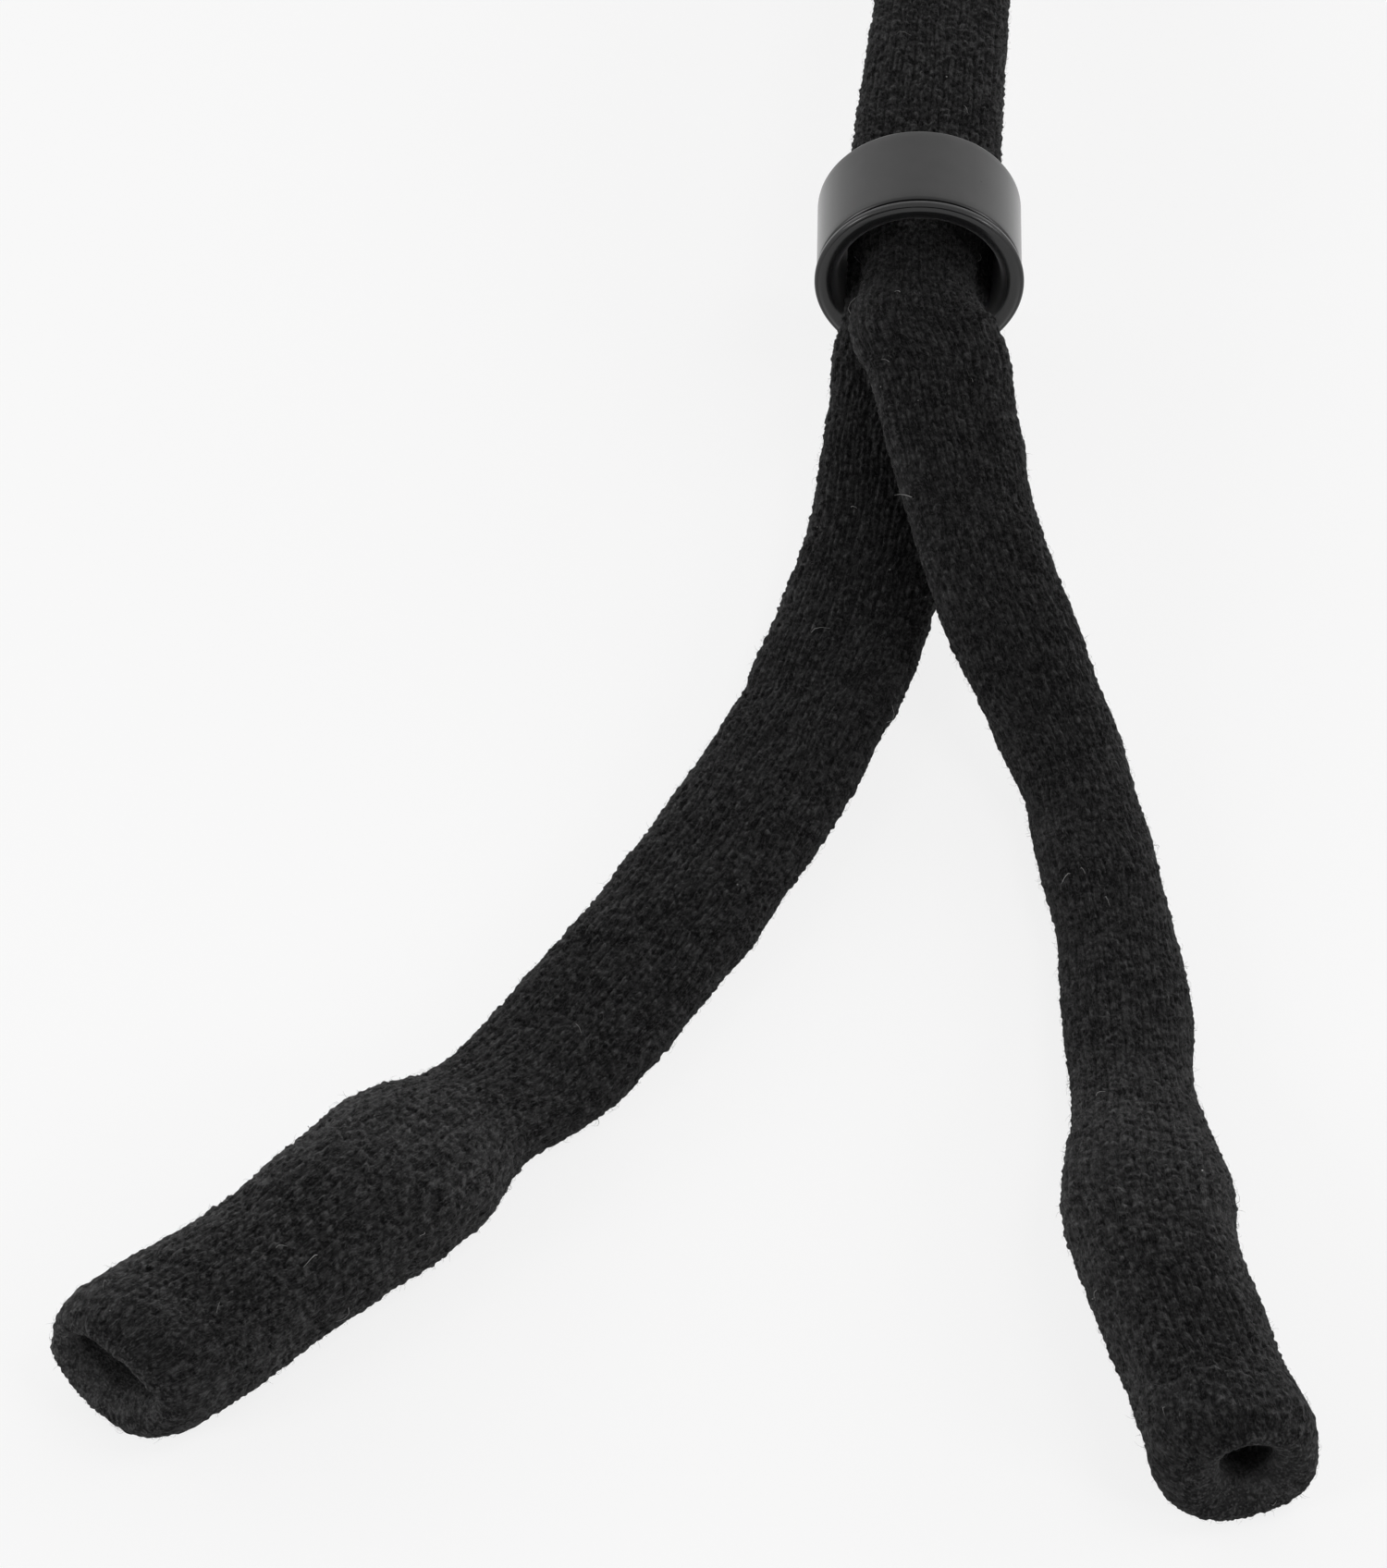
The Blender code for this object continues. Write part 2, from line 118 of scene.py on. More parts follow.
# %% Routes of the two legs: x, y, lift, stack, left edge, right edge, thickness
LEFT_LEG = [
    (0.0000, HINGE_BEHIND_MOUTH, 1.00, 0, 0.0071, 0.0067, 0.0039),
    (-0.0004, -0.0140, 0.84, 0, 0.0067, 0.0067, 0.0039),
    (-0.0009, -0.0210, 0.60, 0, 0.0066, 0.0068, 0.0040),
    (-0.0015, -0.0280, 0.34, 0, 0.0064, 0.0069, 0.0041),
    (-0.0028, -0.0350, 0.14, 0, 0.0066, 0.0070, 0.0042),
    (-0.0046, -0.0433, 0.02, 0, 0.0067, 0.0070, 0.0043),
    (-0.0070, -0.0522, 0, 0, 0.0067, 0.0067, 0.0044),
    (-0.0103, -0.0614, 0, 0, 0.0067, 0.0072, 0.0044),
    (-0.0142, -0.0709, 0, 0, 0.0069, 0.0073, 0.0044),
    (-0.0185, -0.0800, 0, 0, 0.0068, 0.0073, 0.0044),
    (-0.0230, -0.0890, 0, 0, 0.0070, 0.0074, 0.0044),
    (-0.0266, -0.0949, 0, 0, 0.0066, 0.0071, 0.0048),
    (-0.0308, -0.1009, 0, 0, 0.0065, 0.0059, 0.0060),
    (-0.0350, -0.1068, 0, 0, 0.0086, 0.0080, 0.0080),
    (-0.0395, -0.1128, 0, 0, 0.0078, 0.0080, 0.0092),
    (-0.0456, -0.1202, 0, 0, 0.0074, 0.0071, 0.0092),
    (-0.0518, -0.1267, 0, 0, 0.0076, 0.0077, 0.0092),
    (-0.0574, -0.1334, 0, 0, 0.0087, 0.0070, 0.0092),
]
RIGHT_LEG = [
    (0.0000, HINGE_BEHIND_MOUTH, 1.00, 1.00, 0.0056, 0.0080, 0.0039),
    (0.0021, -0.0130, 0.87, 1.06, 0.0055, 0.0076, 0.0039),
    (0.0044, -0.0197, 0.66, 1.08, 0.0061, 0.0064, 0.0040),
    (0.0067, -0.0281, 0.36, 1.10, 0.0056, 0.0059, 0.0043),
    (0.0091, -0.0360, 0.15, 1.10, 0.0056, 0.0060, 0.0045),
    (0.0121, -0.0430, 0.06, 0.78, 0.0054, 0.0058, 0.0047),
    (0.0152, -0.0498, 0.02, 0.40, 0.0052, 0.0055, 0.0049),
    (0.0181, -0.0570, 0.00, 0.12, 0.0047, 0.0049, 0.0050),
    (0.0205, -0.0655, 0, 0, 0.0052, 0.0051, 0.0050),
    (0.0225, -0.0742, 0, 0, 0.0052, 0.0050, 0.0050),
    (0.0239, -0.0830, 0, 0, 0.0057, 0.0055, 0.0050),
    (0.0249, -0.0912, 0, 0, 0.0056, 0.0049, 0.0054),
    (0.0255, -0.0975, 0, 0, 0.0058, 0.0056, 0.0066),
    (0.0264, -0.1060, 0, 0, 0.0071, 0.0071, 0.0090),
    (0.0282, -0.1140, 0, 0, 0.0067, 0.0063, 0.0100),
    (0.0307, -0.1220, 0, 0, 0.0061, 0.0064, 0.0100),
    (0.0332, -0.1295, 0, 0, 0.0063, 0.0068, 0.0100),
    (0.0353, -0.1357, 0, 0, 0.0070, 0.0077, 0.0100),
]
print("leg points", len(LEFT_LEG), len(RIGHT_LEG))

# %% Routes of the doubled stretch and of the loop behind the neck: y, lift, stack
RUN_Y = (0.0010, 0.0120, 0.0220, 0.0340, 0.0480)
NECK_UPPER = [
    (NECK_HINGE_Y, 1.00, 1.00),
    (0.0780, 0.90, 1.03),
    (0.0900, 0.58, 1.06),
    (0.1030, 0.20, 1.08),
    (0.1160, 0.02, 1.08),
    (0.1300, 0.00, 1.08),
    (0.1430, 0.00, 1.20),
]
NECK_LOWER = [(y, lift, 0.0) for y, lift, _ in NECK_UPPER] + [(0.1560, 0.00, 0.0)]
BIGHT_Y = 0.1720
BIGHT_RADIUS = 0.0080
BIGHT_ANGLES = np.radians((150, 120, 90, 60, 30, 0, -30, -60, -90))
STRAP_EDGE = 0.0070
STRAP_THICKNESS = 0.0039
UPPER_MOUTH_EDGES = (0.0050, 0.0056)
LOWER_MOUTH_EDGES = (0.0066, 0.0066)
UPPER_RIGHT_EDGE = 0.0067
TRAVEL_EDGE = 0.0066
print("loop points", len(NECK_UPPER) + len(BIGHT_ANGLES) + len(NECK_LOWER))

# %% [markdown]
# A route point becomes a place in space when its lift and stack are turned into a height. The pieces of
# route are then strung together, from the left mouth up the left leg, out along the lower layer, round the
# fold, back along the upper layer and down the right leg, so that the knit runs on without a break.

# %% The whole strap as one line
FLAT_DEPTH = 0.0006
LAYER_PITCH = 0.0042
LOWER_RUN_Z = 0.007781
EDGES = slice(3, 5)
RIGHT_EDGE = 4


def raised(points):
    """Rows of x, y, z, left, right, thickness. Height is half the thickness, less what is pressed flat,
    plus lift times the climb to the lower layer, plus stack times the pitch of the layers."""
    x, y, lift, stack, left, right, thick = np.array(points, float).T
    climb = LOWER_RUN_Z - (STRAP_THICKNESS / 2 - FLAT_DEPTH)
    z = thick / 2 - FLAT_DEPTH + lift * climb + stack * LAYER_PITCH
    return np.column_stack([x, y, z, left, right, thick])


def plain(points):
    """Rows of the same kind for points of y, lift and stack, on the strap's straight middle."""
    y, lift, stack = np.array(points, float).T
    level = np.ones_like(y)
    shape = (STRAP_EDGE * level, STRAP_EDGE * level, STRAP_THICKNESS * level)
    return raised(np.column_stack([0 * y, y, lift, stack, *shape]))


lower_run = plain([(y, 1.0, 0.0) for y in RUN_Y])
lower_run[0, EDGES] = LOWER_MOUTH_EDGES
lower_run[3:, EDGES] = TRAVEL_EDGE
upper_run = plain([(y, 1.0, 1.0) for y in RUN_Y])
upper_run[0, EDGES] = UPPER_MOUTH_EDGES
upper_run[2, RIGHT_EDGE] = UPPER_RIGHT_EDGE
upper_run[3:, EDGES] = TRAVEL_EDGE
bight = np.tile(lower_run[:1], (len(BIGHT_ANGLES), 1))
bight[:, 1] = BIGHT_Y + BIGHT_RADIUS * np.cos(BIGHT_ANGLES)
bight[:, 2] = STRAP_THICKNESS / 2 - FLAT_DEPTH + BIGHT_RADIUS * (1 + np.sin(BIGHT_ANGLES))
knots = np.vstack([
    raised(LEFT_LEG)[::-1],
    lower_run,
    plain(NECK_LOWER),
    bight[::-1],
    plain(NECK_UPPER)[::-1],
    upper_run[::-1],
    raised(RIGHT_LEG),
])
knots[:, :3] += MOUTH
print("route points", len(knots))

# %% [markdown]
# Between the points the strap follows a Catmull-Rom curve, which passes through every point and has no
# corners. It is measured, so that later steps can ask for the strap's shape at any distance along it.

# %% A smooth line with its lengths
FINE = 40


def smooth_curve(points, count):
    """Catmull-Rom, between b and c: half of
    2b + (c - a)t + (2a - 5b + 4c - d)t^2 + (3b - a - 3c + d)t^3."""
    p = np.vstack([2 * points[0] - points[1], points, 2 * points[-1] - points[-2]])
    a, b, c, d = (p[i:len(p) - 3 + i, None, :] for i in range(4))
    t = np.linspace(0, 1, count, endpoint=False)[None, :, None]
    curve = 2 * b + (c - a) * t + (2 * a - 5 * b + 4 * c - d) * t**2 + (3 * b - a - 3 * c + d) * t**3
    return np.vstack([0.5 * curve.reshape(-1, points.shape[1]), points[-1:]])


line = smooth_curve(knots, FINE)
along = np.r_[0, np.cumsum(np.linalg.norm(np.diff(line[:, :3], axis=0), axis=1))]
STRAP_LENGTH = float(along[-1])
print("strap length", round(STRAP_LENGTH, 4))


def strap_at(distance):
    """Middle, direction, side, top and shape of the strap at distances along it. The side stays level and
    points to the photograph's right, and the top is square to the side and the direction."""
    step = 0.0004
    place = np.column_stack([np.interp(distance, along, column) for column in line.T])
    ahead, behind = (
        np.column_stack([np.interp(distance + s, along, column) for column in line[:, :3].T])
        for s in (step, -step)
    )
    way = (ahead - behind) / np.linalg.norm(ahead - behind, axis=1)[:, None]
    side = np.column_stack([np.abs(way[:, 1]) + 1e-9, -way[:, 0] * np.sign(way[:, 1]), 0 * way[:, 0]])
    side /= np.linalg.norm(side, axis=1)[:, None]
    return place[:, :3], way, side, np.cross(side, way), place[:, 3:]


def nearest_distance(x, y, upper):
    """How far along the strap the point over x, y lies, on its upper or its lower half."""
    half = (along > STRAP_LENGTH / 2) == upper
    gap = np.hypot(line[:, 0] - x, line[:, 1] - y)
    return float(along[np.where(half, gap, np.inf).argmin()])


# %% [markdown]
# ## The knitted surface
#
# The strap's section is a flattened round, and its wales, the columns of stitches, lie evenly round it. So
# each section is drawn finely and then cut into equal lengths. All sections are cut in one call: each
# section's running length is shifted by its row number, which makes one long rising list.

# %% Sections cut into equal lengths
WALES = 32
COLUMNS_PER_WALE = 6
COLUMNS = WALES * COLUMNS_PER_WALE
SECTION_POWER = 2.7
SECTION_FINE = 720


def sections(left, right, thick, power):
    """Superellipse: |x / edge|^power + |z / half thickness|^power = 1, with its own edge on each side, as
    COLUMNS points spaced evenly round it. Returns two arrays of rows by columns."""
    turn = np.linspace(0, 2 * np.pi, SECTION_FINE + 1)
    c, s = np.cos(turn), np.sin(turn)
    power = np.broadcast_to(power, left.shape)[:, None]
    x = np.sign(c) * np.abs(c) ** (2 / power)
    x = np.where(x > 0, x * right[:, None], x * left[:, None])
    z = np.sign(s) * np.abs(s) ** (2 / power) * thick[:, None] / 2
    run = np.cumsum(np.hypot(np.diff(x, axis=1), np.diff(z, axis=1)), axis=1)
    share = np.column_stack([np.zeros(len(run)), run / run[:, -1:]])
    row = np.arange(len(share))[:, None] * 2.0
    wanted = row + np.arange(COLUMNS) / COLUMNS
    cut = [np.interp(wanted.ravel(), (share + row).ravel(), v.ravel()) for v in (x, z)]
    return [v.reshape(len(share), COLUMNS) for v in cut]


print("columns round the strap", COLUMNS)

# %% [markdown]
# A plain knit shows columns of small Vs. Each leg of a V is a short fat length of yarn, so the relief is
# the product of two waves: one across the leg, which is low in the middle of the wale and between wales,
# and one along it, slanted so that the two legs lean together. With a bump map the outline would be smooth,
# so the stitches are real relief. No two stitches are quite alike: each leg has a random size, and random
# drifts push the stitches about as handling does.

# %% Stitches as a formula
COURSE = 0.00085
SLANT = 0.75
COURSES = 1000
LEG_SIZE = (0.55, 1.15)
LEG_SEED = 13
# Each drift has a strength, cells round the strap, courses a cell along it, and a seed.
WANDER_ACROSS = ((0.30, 8, 9, 11), (0.22, 24, 2.5, 14))
WANDER_ALONG = ((0.40, 8, 6, 12), (0.30, 24, 2, 15))


def eased(t):
    """Smoothstep: 3t^2 - 2t^3."""
    t = np.clip(t, 0, 1)
    return t * t * (3 - 2 * t)


def drift(wale, course, around, length, seed):
    """Slow random values from -1 to 1: a random lattice with a number of cells round the strap and one
    each few courses along it, eased between its corners."""
    lattice = np.random.default_rng(seed).uniform(-1, 1, (int(COURSES / length) + 3, around))
    a, b = wale / WALES * around, course / length
    i, j = np.floor(b).astype(int), np.floor(a).astype(int)
    fb, fa = eased(b - i), eased(a - j)
    low = lattice[i, j % around] * (1 - fa) + lattice[i, (j + 1) % around] * fa
    high = lattice[i + 1, j % around] * (1 - fa) + lattice[i + 1, (j + 1) % around] * fa
    return low * (1 - fb) + high * fb


def drifts(wale, course, kinds):
    """Sum of several drifts, each times its strength."""
    return sum(strength * drift(wale, course, *kind) for strength, *kind in kinds)


def stitches(wale, course):
    """Height of the knit from 0 to 1. With c from 0 in the middle of a wale to 1 at its border, it is
    0.2 + 0.3 cos(pi c / 2) + 0.64 sin(pi c) across. Along, it is 0.5 + 0.5 (1 - |2p - 1|^3), where p is
    the fraction of course - SLANT c. Each leg of a stitch has a random size."""
    c = np.abs(2 * (wale % 1) - 1)
    p = course + SLANT - SLANT * c
    size = np.random.default_rng(LEG_SEED).uniform(*LEG_SIZE, (COURSES + 6, WALES * 2))
    leg = size[np.floor(p).astype(int), np.floor(wale * 2).astype(int) % (WALES * 2)]
    across = 0.2 + 0.3 * np.cos(np.pi * c / 2) + 0.64 * np.sin(np.pi * c)
    lengthways = 1 - np.abs(2 * (p % 1) - 1) ** 3
    return leg * across * (0.5 + 0.5 * lengthways)


print("stitch", round(COURSE * 1000, 2), "mm long")

# %% [markdown]
# ## Rows of a piece
#
# One mesh for the whole strap would be too heavy and couldn't follow its joints, so the strap is cut
# across into six pieces that meet row to row. A row is a middle, a side, a top and a shape. At a mouth the
# rows go on over a soft round rim and back inside, as the real tube is turned in.

# %% Rows along the outside
RELIEF = 0.00031
RIM = 0.0034
END_REACH = 0.0115
END_CALM = 0.45
LEFT_DOMES = (0.0004, 0.0022)
RIGHT_DOMES = (0.0016, 0.0004)
TILT = 0.0013
# Over the last stretch towards each end the yarn is drawn paler.
PALENESS_REACH = 0.055
PALENESS_FADE = 0.020
LEFT_PALENESS = 1.2
RIGHT_PALENESS = 0.3
ARCH_UPPER = 0.0021
ARCH_LOWER = 0.0012
ARCH_FROM = -0.010
ARCH_TO = 0.004
ARCH_FADE = 0.009


def rows_at(distance):
    """Middle, side, top and shape of each row, with the way to the nearer mouth, how far the end is domed
    back at its two sides and tilted, and how far the strap arches inside the slider. On the upper half of
    the strap the section is upside down, so its tilt and arch are negative. Each row also says how high
    its stitches are, how much paler its yarn is drawn towards the end and whether it is lining."""
    middle, way, side, top, shape = strap_at(distance)
    upper = distance > STRAP_LENGTH / 2
    reach = np.minimum(distance, STRAP_LENGTH - distance)
    y = middle[:, 1] - MOUTH[1]
    in_slider = eased((y - ARCH_FROM) / ARCH_FADE) * (1 - eased((y - ARCH_TO) / ARCH_FADE))
    at_end = eased((END_REACH - reach) / (END_REACH - RIM))[:, None]
    return {
        "distance": distance,
        "middle": middle,
        "side": side,
        "top": top,
        "shape": shape,
        "wide": shape.copy(),
        "forward": way * np.where(upper, 1, -1)[:, None],
        "dome": at_end * np.where(upper[:, None], RIGHT_DOMES, LEFT_DOMES),
        "tilt": at_end * np.where(upper, -TILT, TILT)[:, None],
        "arch": (np.where(upper, -ARCH_UPPER, ARCH_LOWER) * in_slider)[:, None],
        "power": np.full(len(distance), SECTION_POWER),
        "relief": RELIEF * (1 - END_CALM * at_end),
        "end_paleness": np.where(upper, RIGHT_PALENESS, LEFT_PALENESS) * eased((PALENESS_REACH - reach) / PALENESS_FADE),
        "lining": np.zeros(len(distance)),
    }


def outside_rows(start, end, per_course):
    """Rows at even steps between two distances along the strap."""
    count = round(abs(end - start) / COURSE * per_course)
    return rows_at(np.linspace(start, end, count + 1))


print("stitch relief", round(RELIEF * 1000, 2), "mm")

# %% Rows round the rim and down the lining
RIM_ROWS = 34
DIMPLE = 0.0018
LINING_DEPTH = 0.026
LINING_ROWS = 24
LINING_WALL = 0.0021
LINING_OPENS = 2.5
HOLE_RAISE = 0.0012
HOLE_POWER = 2.0
LEFT_HOLE = (0.0045, 0.0045, 0.0032)
RIGHT_HOLE = (0.0016, 0.0030, 0.0036)


def mouth_rows(end, inward, hole):
    """Rows over the rim and down the lining to its closed bottom. The rim turns by half a circle: it goes
    forwards with sin(turn) to the tip and then back by DIMPLE, while its edges go from the outside to the
    hole by (1 - cos(turn)) / 2. The lining widens again inside."""
    turn = np.linspace(0, np.pi, RIM_ROWS + 1)[1:]
    deep = np.linspace(0, 1, LINING_ROWS + 1)[1:]
    rim_start = end + inward * RIM
    rows = rows_at(np.r_[np.full(RIM_ROWS, rim_start), end + inward * (DIMPLE + LINING_DEPTH * deep)])
    tip = strap_at(np.array([end]))[0]
    back_by = DIMPLE / RIM * (1 - np.sin(turn))
    share = np.where(turn < np.pi / 2, np.sin(turn), 1 - back_by)
    rows["middle"][:RIM_ROWS] += share[:, None] * (tip - rows["middle"][:1])
    inner = np.array(hole)
    turned_in = ((1 - np.cos(turn)) / 2)[:, None]
    wide = rows["shape"][:1] - np.array((1, 1, 2)) * LINING_WALL
    rows["shape"][:RIM_ROWS] += (inner - rows["shape"][:RIM_ROWS]) * turned_in
    opened = eased(LINING_OPENS * deep)
    rows["shape"][RIM_ROWS:] = inner + (wide - inner) * opened[:, None]
    rows["power"] += (HOLE_POWER - SECTION_POWER) * np.r_[turned_in[:, 0], np.ones(LINING_ROWS)]
    rows["middle"][:, 2] += HOLE_RAISE * np.r_[turned_in[:, 0], 1 - opened]
    rows["lining"] = np.r_[turned_in[:, 0] ** 2, np.ones(LINING_ROWS)]
    return rows


def joined(first, second):
    """Two runs of rows as one."""
    return {key: np.concatenate([first[key], second[key]]) for key in first}


print("rows of a mouth", RIM_ROWS + LINING_ROWS)

# %% From rows to a knitted surface
FLOOR = 0.0
COLUMN_WIDTH = 0.00016
LEAST_PINCHED = 0.15
RELIEF_MIDDLE = 0.55
SWELL_HEIGHT = 0.00020
SWELLS = ((1.0, 5, 8, 21), (0.6, 11, 4, 22))
WOOL_HEIGHT = 0.00009
WOOL = ((1.0, 3 * WALES, 0.4, 23), (0.6, 2 * WALES, 0.9, 24))


def knit_surface(rows):
    """Places section points at middle + x side + z top, bends them by the arch, the dome and the tilt, then
    moves each along the surface's normal by the stitch height and by drifts, from slow swells to fine wool.
    Where columns are pinched together, as round the holes, the stitches and the wool are lower."""
    x, z = sections(*rows["shape"].T, rows["power"])
    left, right, thick = np.split(rows["wide"], 3, axis=1)
    edge_share = np.where(x > 0, x / right, -x / left)
    dome = np.where(x > 0, rows["dome"][:, 1:], rows["dome"][:, :1])
    back_by = dome * edge_share**3 + rows["tilt"] * z / (thick / 2)
    z = z - rows["arch"] * edge_share**2
    base = (
        rows["middle"][:, None, :]
        + x[:, :, None] * rows["side"][:, None, :]
        + z[:, :, None] * rows["top"][:, None, :]
        - back_by[:, :, None] * rows["forward"][:, None, :]
    )
    base[:, :, 2] = np.maximum(base[:, :, 2], FLOOR)
    lengthways = np.gradient(base, axis=0)
    crossways = np.roll(base, -1, axis=1) - np.roll(base, 1, axis=1)
    normal = np.cross(lengthways, crossways)
    normal /= np.maximum(np.linalg.norm(normal, axis=2, keepdims=True), 1e-12)
    pinched = np.clip(np.linalg.norm(crossways, axis=2) / (2 * COLUMN_WIDTH), LEAST_PINCHED, 1)
    step = np.linalg.norm(np.diff(base, axis=0), axis=2).mean(axis=1)
    course = rows["first_course"] + np.r_[0, np.cumsum(step)] / COURSE
    wale, course = np.meshgrid(np.arange(COLUMNS) / COLUMNS_PER_WALE, course)
    across = drifts(wale, course, WANDER_ACROSS)
    lengthways = drifts(wale, course, WANDER_ALONG) + 1
    height = stitches(wale + across, course + lengthways)
    stitch_move = rows["relief"] * pinched**2 * (height - RELIEF_MIDDLE)
    swell_move = SWELL_HEIGHT * drifts(wale, course, SWELLS)
    wool_move = WOOL_HEIGHT * pinched * drifts(wale, course, WOOL)
    points = base + (stitch_move + swell_move + wool_move)[:, :, None] * normal
    points[:, :, 2] = np.maximum(points[:, :, 2], FLOOR)
    return {
        "points": points,
        "normal": normal,
        "height": height,
        "end_paleness": np.broadcast_to(rows["end_paleness"][:, None], height.shape),
        "lining": np.broadcast_to(rows["lining"][:, None], height.shape),
        "course": course,
        "across": across,
        "lengthways": lengthways,
    }


print("swells", round(SWELL_HEIGHT * 1000, 2), "mm, wool", round(WOOL_HEIGHT * 1000, 2), "mm")

# %% [markdown]
# A tube's grid becomes a closed mesh when its last column is joined to its first and a fan of triangles
# closes each end. The fans are hidden inside the strap, and their borders are sharp so that they don't
# spoil the shading beside them. Two UV maps go with it: one counts stitches for the yarn's finish, and the
# other lays the whole piece out flat, without overlaps, for baking.

# %% Two maps for a tube's mesh
CAP_STRIP = 0.02
CAP_MARGIN = 0.2


def lay_out(mesh, quads, knit):
    """The stitch map holds wale and course, with their wandering. The flat map holds the share of the way
    round and along, with a thin strip at each end for that end's fan, whose centre is spread to a line."""
    rows = len(knit["points"])
    column_a = quads[:, 0] % COLUMNS
    column = np.stack([column_a, column_a, column_a + 1, column_a + 1], axis=1).ravel()
    row_a = quads[:, 0] // COLUMNS
    row = np.stack([row_a, row_a + 1, row_a + 1, row_a], axis=1).ravel()
    fan = np.arange(COLUMNS)
    first = np.column_stack([fan + 0.5, fan, fan + 1]).ravel()
    last = np.column_stack([fan + 0.5, fan + 1, fan]).ravel()
    rim = np.tile((0, 1, 1), COLUMNS)
    stitch = mesh.uv_layers.new(name="stitch")
    corner = quads.ravel()
    u = column / COLUMNS_PER_WALE + knit["across"].ravel()[corner]
    v = (knit["course"] + knit["lengthways"]).ravel()[corner]
    u = np.r_[u, np.r_[first, last] / COLUMNS_PER_WALE]
    v = np.r_[v, np.full(len(first), v[0]), np.full(len(last), v[-1])]
    stitch.uv.foreach_set("vector", np.column_stack([u, v]).astype(np.float32).ravel())
    flat = mesh.uv_layers.new(name="OFBake")
    u = np.r_[column, first, last] / COLUMNS
    body = CAP_STRIP + (1 - 2 * CAP_STRIP) * row / (rows - 1)
    low = CAP_STRIP * (CAP_MARGIN + (1 - 2 * CAP_MARGIN) * rim)
    v = np.r_[body, low, 1 - low]
    flat.uv.foreach_set("vector", np.column_stack([u, v]).astype(np.float32).ravel())


print("strip for the fan at each end", CAP_STRIP)

# %% A closed mesh from a tube's grid
CAP_VALUE = 0.2


def tube_mesh(name, knit):
    """Quads between neighbouring rows and columns, and a triangle fan at each end."""
    points = knit["points"]
    rows = len(points)
    grid = np.arange(rows * COLUMNS).reshape(rows, COLUMNS)
    a, b = grid[:-1], grid[1:]
    quads = np.stack([a, b, np.roll(b, -1, axis=1), np.roll(a, -1, axis=1)], axis=2).reshape(-1, 4)
    ends = [rows * COLUMNS, rows * COLUMNS + 1]
    first, last = grid[0], grid[-1]
    fan_first = np.column_stack([np.full(COLUMNS, ends[0]), first, np.roll(first, -1)])
    fan_last = np.column_stack([np.full(COLUMNS, ends[1]), np.roll(last, -1), last])
    places = np.vstack([points.reshape(-1, 3), points[0].mean(axis=0), points[-1].mean(axis=0)])
    mesh = bpy.data.meshes.new(name)
    mesh.from_pydata(places.tolist(), [], [*quads.tolist(), *fan_first.tolist(), *fan_last.tolist()])
    mesh.shade_smooth()
    pair = np.zeros(len(mesh.edges) * 2, np.int32)
    mesh.edges.foreach_get("vertices", pair)
    pair = pair.reshape(-1, 2)
    rim = (pair < COLUMNS).all(axis=1) | ((pair >= (rows - 1) * COLUMNS) & (pair < ends[0])).all(axis=1)
    sharp = mesh.attributes.new("sharp_edge", "BOOLEAN", "EDGE")
    sharp.data.foreach_set("value", rim)
    for label, key in (("stitch_height", "height"), ("end_paleness", "end_paleness"), ("lining", "lining")):
        values = np.r_[knit[key].ravel(), CAP_VALUE, CAP_VALUE].astype(np.float32)
        mesh.attributes.new(label, "FLOAT", "POINT").data.foreach_set("value", values)
    lay_out(mesh, quads, knit)
    return mesh


print("triangles in a row", COLUMNS * 2)

# %% [markdown]
# ## The six pieces of knit
#
# The strap is cut where no joint bends it: half way down each leg, on the doubled stretch in front of the
# neck's hinge, and at the fold. Each piece crosses one joint, whose two bodies and stretch are listed with
# it, and hides the plain solids that it stands for.

# %% Where the strap is cut
LEFT_CUT_POINT = LEFT_LEG[7]
RIGHT_CUT_POINT = RIGHT_LEG[6]
RUN_CUT_POINT = (0.0, 0.0420)


def cut_at(point, upper):
    """How far along the strap a point of its route lies."""
    return nearest_distance(MOUTH[0] + point[0], MOUTH[1] + point[1], upper)


left_cut, lower_cut = cut_at(LEFT_CUT_POINT, False), cut_at(RUN_CUT_POINT, False)
upper_cut, right_cut = cut_at(RUN_CUT_POINT, True), cut_at(RIGHT_CUT_POINT, True)
fold = (lower_cut + upper_cut) / 2
SPANS = {
    "left_socket_knit": (0.0, left_cut),
    "left_leg_knit": (left_cut, lower_cut),
    "lower_loop_knit": (lower_cut, fold),
    "upper_loop_knit": (fold, upper_cut),
    "right_leg_knit": (upper_cut, right_cut),
    "right_socket_knit": (right_cut, STRAP_LENGTH),
}
print("cuts at", np.round([end for _, end in SPANS.values()], 4).tolist())

# %% Making the pieces
CLOSE_ROWS = 4
LOOP_ROWS = 3
rows_of = {}
for name, (start, end) in SPANS.items():
    per_course = LOOP_ROWS if "loop" in name else CLOSE_ROWS
    rows_of[name] = outside_rows(max(start, RIM), min(end, STRAP_LENGTH - RIM), per_course)
left_mouth = {key: rows[::-1] for key, rows in mouth_rows(0.0, 1, LEFT_HOLE).items()}
right_mouth = mouth_rows(STRAP_LENGTH, -1, RIGHT_HOLE)
rows_of["left_socket_knit"] = joined(left_mouth, rows_of["left_socket_knit"])
rows_of["right_socket_knit"] = joined(rows_of["right_socket_knit"], right_mouth)
knits, pieces = {}, {}
next_course = 0.0
for name, rows in rows_of.items():
    rows["first_course"] = next_course
    knits[name] = knit_surface(rows)
    next_course = float(knits[name]["course"][-1, 0])
    pieces[name] = placed(name, tube_mesh(name, knits[name]))
    print(name, "rows", len(rows["distance"]))
print("courses", round(next_course))
